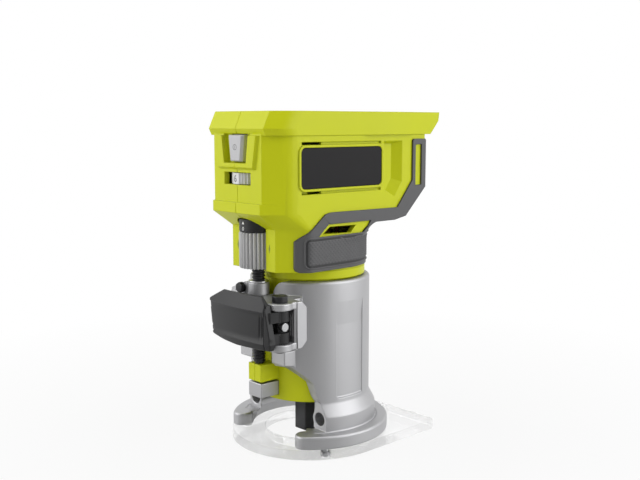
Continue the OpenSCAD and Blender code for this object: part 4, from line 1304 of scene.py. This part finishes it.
@dataclass
class DepthFeed:
    """The depth screw with its thread, the knurled knob and the zero ring."""

    ridges: int = 28
    ridge_steps: int = 8
    ridge_depth: float = 1.5
    ridge_bend: float = 1.5
    knob_chamfer: float = 0.7
    knob_narrow: float = 0.95
    knob_sharp: float = 50.0
    hub_inset: float = 3.4
    hub_span: tuple[float, float] = (-1.3, 7.7)
    hub_steps: int = 48
    ring_gap: float = 0.3
    ring_edge: float = 0.5
    thread_pitch: float = 2.0
    thread_steps: int = 24
    thread_low: float = 54.2
    thread_shape: tuple[float, ...] = (0.0, 0.3, 0.45, 0.75, 1.0)
    root_r: float = 3.4
    crest_r: float = 4.0
    core_inset: float = 0.02
    foot_r: float = 2.35
    tip_r: float = 2.5
    tip_start: float = 7.0
    mark_inset: float = 0.18
    mark_turn: float = 0.0
    pointer_r: float = 1.15
    pointer_proud: float = 0.1
    pointer_share: float = 0.68
    nought_size: float = 2.3
    nought_share: float = 0.27
    axis_y: float = field(init=False)
    knob_r: float = field(init=False)
    knob_low: float = field(init=False)
    knob_high: float = field(init=False)

    def __post_init__(self) -> None:
        """Takes the knob's place and size from the solids."""
        low, high = span("depth_knob")
        self.axis_y = (low.y + high.y) / 2
        self.knob_r = (high.x - low.x) / 2
        self.knob_low = low.z
        self.knob_high = span("zero_ring")[0].z - self.ring_gap

    def build(self) -> None:
        """Builds the pieces of the depth feed."""
        self._knob()
        self._screw()
        soft_solid("zero_ring", "zero_ring", BLACK, self.ring_edge)
        self._zero_marks()

    def _knob(self) -> None:
        """Builds the knob with rounded upright ridges and a plain hub under the zero ring."""
        bm = bmesh.new()
        steps = self.ridges * self.ridge_steps
        bmesh.ops.create_circle(bm, cap_ends=True, segments=steps, radius=self.knob_r)
        for vert in bm.verts:
            turn = math.atan2(vert.co.y, vert.co.x) * self.ridges
            dip = self.ridge_depth * (0.5 - 0.5 * math.cos(turn)) ** self.ridge_bend
            vert.co *= (self.knob_r - dip) / self.knob_r
        narrow, chamfer = self.knob_narrow, self.knob_chamfer
        bmesh.ops.scale(bm, vec=Vector((narrow, narrow, 1)), verts=bm.verts)
        move(bm, 0, 0, self.knob_low)
        top = lift(bm, list(bm.faces), (0, 0, chamfer), 1 / narrow, keep=True)
        top = lift(bm, top, (0, 0, self.knob_high - self.knob_low - 2 * chamfer))
        lift(bm, top, (0, 0, chamfer), narrow)
        low, high = (self.knob_high + end for end in self.hub_span)
        add_rod(bm, self.knob_r - self.hub_inset, low, high, self.hub_steps)
        turn_out(bm)
        move(bm, 0, self.axis_y, 0)
        make_piece(bm, "depth_knob_shape", "depth_screw", KNOB_GREY, ("depth_knob",), self.knob_sharp)

    def _zero_marks(self) -> None:
        """Prints a pointer and a nought on the zero ring."""
        low, high = span("zero_ring")
        pointer = bmesh.new()
        bmesh.ops.create_circle(pointer, cap_ends=True, segments=3, radius=self.pointer_r)
        stand_up(pointer)
        lift(pointer, list(pointer.faces), (0, -self.pointer_proud, 0))
        nought = glyph("0", self.nought_size)
        for sign, share, name in (
            (pointer, self.pointer_share, "zero_pointer"),
            (nought, self.nought_share, "zero_nought"),
        ):
            centre = Vector((0, self.axis_y, low.z + share * (high.z - low.z)))
            wrap(sign, centre, self.knob_r - self.mark_inset, self.mark_turn)
            turn_out(sign)
            make_piece(sign, name, "zero_ring", WHITE_PRINT)

    def _screw(self) -> None:
        """Builds the depth screw: a helical thread between plain round ends."""
        low, high = span("depth_screw")
        pitch, root, crest = self.thread_pitch, self.root_r, self.crest_r
        turns = int((self.knob_low - self.thread_low) / pitch)
        radii = (root, crest, crest, root, root)
        bm = bmesh.new()
        verts = [
            bm.verts.new((radius, 0, self.thread_low + share * pitch))
            for radius, share in zip(radii, self.thread_shape)
        ]
        edges = [bm.edges.new(pair) for pair in zip(verts, verts[1:])]
        bmesh.ops.spin(
            bm,
            geom=verts + edges,
            axis=Vector((0, 0, 1)),
            cent=Vector((0, 0, 0)),
            dvec=Vector((0, 0, pitch / self.thread_steps)),
            angle=2 * math.pi * turns,
            steps=self.thread_steps * turns,
        )
        close_up(bm)
        add_rod(bm, self.foot_r, low.z, self.thread_low + pitch / 2)
        add_rod(bm, root - self.core_inset, self.thread_low + pitch / 4, self.knob_low + pitch / 2)
        add_rod(bm, self.tip_r, self.knob_high + self.tip_start, high.z)
        move(bm, 0, self.axis_y, 0)
        make_piece(bm, "depth_screw_shape", "depth_screw", DARK_STEEL, ("depth_screw",))


@dataclass
class Controls:
    """The power button, the speed dial and the arrows beside the depth knob."""

    button_edge: float = 0.6
    button_crisp: float = 20.0
    sign_r: float = 1.7
    sign_inner: float = 0.8
    sign_steps: int = 40
    sign_bar: tuple[float, float] = (0.34, 1.9)
    sign_up: float = 0.6
    sign_proud: float = 0.02
    sign_thick: float = 0.06
    fields: int = 6
    field_flat: float = 26.0
    grooves: int = 4
    groove_depth: float = 1.1
    groove_wide: float = 2.2
    groove_bend: float = 1.2
    dial_inset: float = 0.05
    dial_steps: int = 540
    dial_sharp: float = 40.0
    dial_rest: float = -8.0
    number_size: float = 4.2
    number_inset: float = 0.04
    arrow_x: float = 14.7
    arrow_z: float = 125.0
    arrow_half: tuple[float, float] = (0.7, 3.0)
    arrow_sink: float = 0.02
    arrow_thick: float = 0.05

    def build(self) -> None:
        """Builds the button, the dial and the arrows."""
        self._button()
        self._dial()
        self._arrows()

    def _button(self) -> None:
        """Rounds the button's edges and prints a power sign on its front."""
        low, high = span("power_button")
        soft_solid("power_button", "power_button", CONTROL_GREY, self.button_edge, crisp=self.button_crisp)
        sign = bmesh.new()
        bmesh.ops.create_circle(sign, segments=self.sign_steps, radius=self.sign_r)
        made = bmesh.ops.extrude_edge_only(sign, edges=sign.edges)["geom"]
        inner = [item for item in made if isinstance(item, BMVert)]
        bmesh.ops.scale(sign, vec=Vector((self.sign_inner, self.sign_inner, 1)), verts=inner)
        bar = bmesh.ops.create_grid(sign, x_segments=1, y_segments=3, size=0.5)["verts"]
        bmesh.ops.scale(sign, vec=Vector((*self.sign_bar, 1)), verts=bar)
        stand_up(sign)
        move(sign, 0, low.y - self.sign_proud, (low.z + high.z) / 2 + self.sign_up)
        bmesh.ops.solidify(sign, geom=sign.faces, thickness=self.sign_thick)
        turn_out(sign)
        make_piece(sign, "power_sign", "power_button", SIGN_GREY)

    def _dial(self) -> None:
        """Builds the dial with groups of grooves between six numbered flats."""
        low, high = span("speed_dial")
        middle = (low + high) / 2
        radius = (high.x - low.x) / 2
        field_span = 360.0 / self.fields
        pitch = (field_span - self.field_flat) / self.grooves
        bm = bmesh.new()
        steps = self.dial_steps
        bmesh.ops.create_circle(bm, cap_ends=True, segments=steps, radius=radius - self.dial_inset)
        for vert in bm.verts:
            turn = math.degrees(math.atan2(vert.co.x, -vert.co.y)) - self.dial_rest
            place = (turn + self.field_flat / 2) % field_span - self.field_flat
            if place > 0:
                wave = abs((place / pitch) % 1.0 - 0.5) * 2
                dip = min(1.0, self.groove_wide * max(0.0, 1 - wave) ** self.groove_bend)
                vert.co *= 1 - self.groove_depth / radius * dip
        lift(bm, list(bm.faces), (0, 0, high.z - low.z), keep=True)
        turn_out(bm)
        move(bm, middle.x, middle.y, low.z)
        make_piece(bm, "speed_dial_shape", "speed_dial", DIAL_LIT_GREY, ("speed_dial",), self.dial_sharp)
        for number in range(1, self.fields + 1):
            sign = glyph(str(number), self.number_size)
            turn = self.dial_rest + (number - self.fields) * field_span
            wrap(sign, middle, radius - self.number_inset, turn)
            make_piece(sign, f"dial_number_{number}", "speed_dial", DARK_PRINT)

    def _arrows(self) -> None:
        """Puts a thin darker lime arrow on each cheek beside the depth knob, painted shade of a cut-in mark.
        """
        for side in Side:
            x = side.value * self.arrow_x
            front = front_of(("housing_left", "housing_right"), x, self.arrow_z)
            bm = bmesh.new()
            bmesh.ops.create_circle(bm, cap_ends=True, segments=4, radius=1.0)
            bmesh.ops.scale(bm, vec=Vector((*self.arrow_half, 1)), verts=bm.verts)
            stand_up(bm)
            move(bm, x, front + self.arrow_sink, self.arrow_z)
            lift(bm, list(bm.faces), (0, -self.arrow_thick, 0))
            turn_out(bm)
            make_piece(bm, f"cheek_arrow_{side.name.lower()}", "motor_unit", LIME_MARK_SHADE)


@dataclass
class Drive:
    """The collet, its nut and the spindle lock."""

    fittings: Fittings = (("collet_nut", DARK_STEEL, 0.6), ("collet", BRIGHT_STEEL, 0.2))
    lock_edge: float = 0.5

    def build(self) -> None:
        """Builds the pieces that show under the motor."""
        soft_solids("rotor", self.fittings)
        soft_solid("spindle_lock", "spindle_lock", DULL_STEEL, self.lock_edge, Rounded.OUTER)


@dataclass
class Insides:
    """Finishes of the solids that keep their own shape."""

    finishes: tuple[tuple[Finish, tuple[str, ...]], ...] = (
        (DARK_STEEL, ("housing_screws", "armature_core")),
        (BLACK, ("power_switch", "dial_pot", "terminal_block", "cooling_fan")),
        (BRIGHT_STEEL, ("motor_can", "brush_springs", "lower_bearing", "upper_bearing", "spindle")),
        (BRASS, ("terminal_blades", "brush_holders")),
        (COPPER, ("armature_winding", "commutator")),
        (BOARD, ("control_board",)),
        (LEAD, ("battery_leads",)),
        (MAGNET, ("field_magnets",)),
        (FIBRE, ("brush_plate",)),
        (CARBON, ("brushes",)),
    )

    def build(self) -> None:
        """Puts each finish on its solids."""
        for finish, nodes in self.finishes:
            for node in nodes:
                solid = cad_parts[node]
                if not solid.material_slots:
                    solid.data.materials.append(None)
                for material_slot in solid.material_slots:
                    material_slot.material = finish.material()
                LOG.info("dressed %s", node)


def main() -> None:
    """Builds the studio and every sub-assembly in order."""
    logging.basicConfig(level=logging.INFO, format="%(message)s")
    for assembly in (Studio, Housing, Grips, Base, ClampLever, DepthFeed, Controls, Drive, Insides):
        assembly().build()


if __name__ == "__main__":
    main()
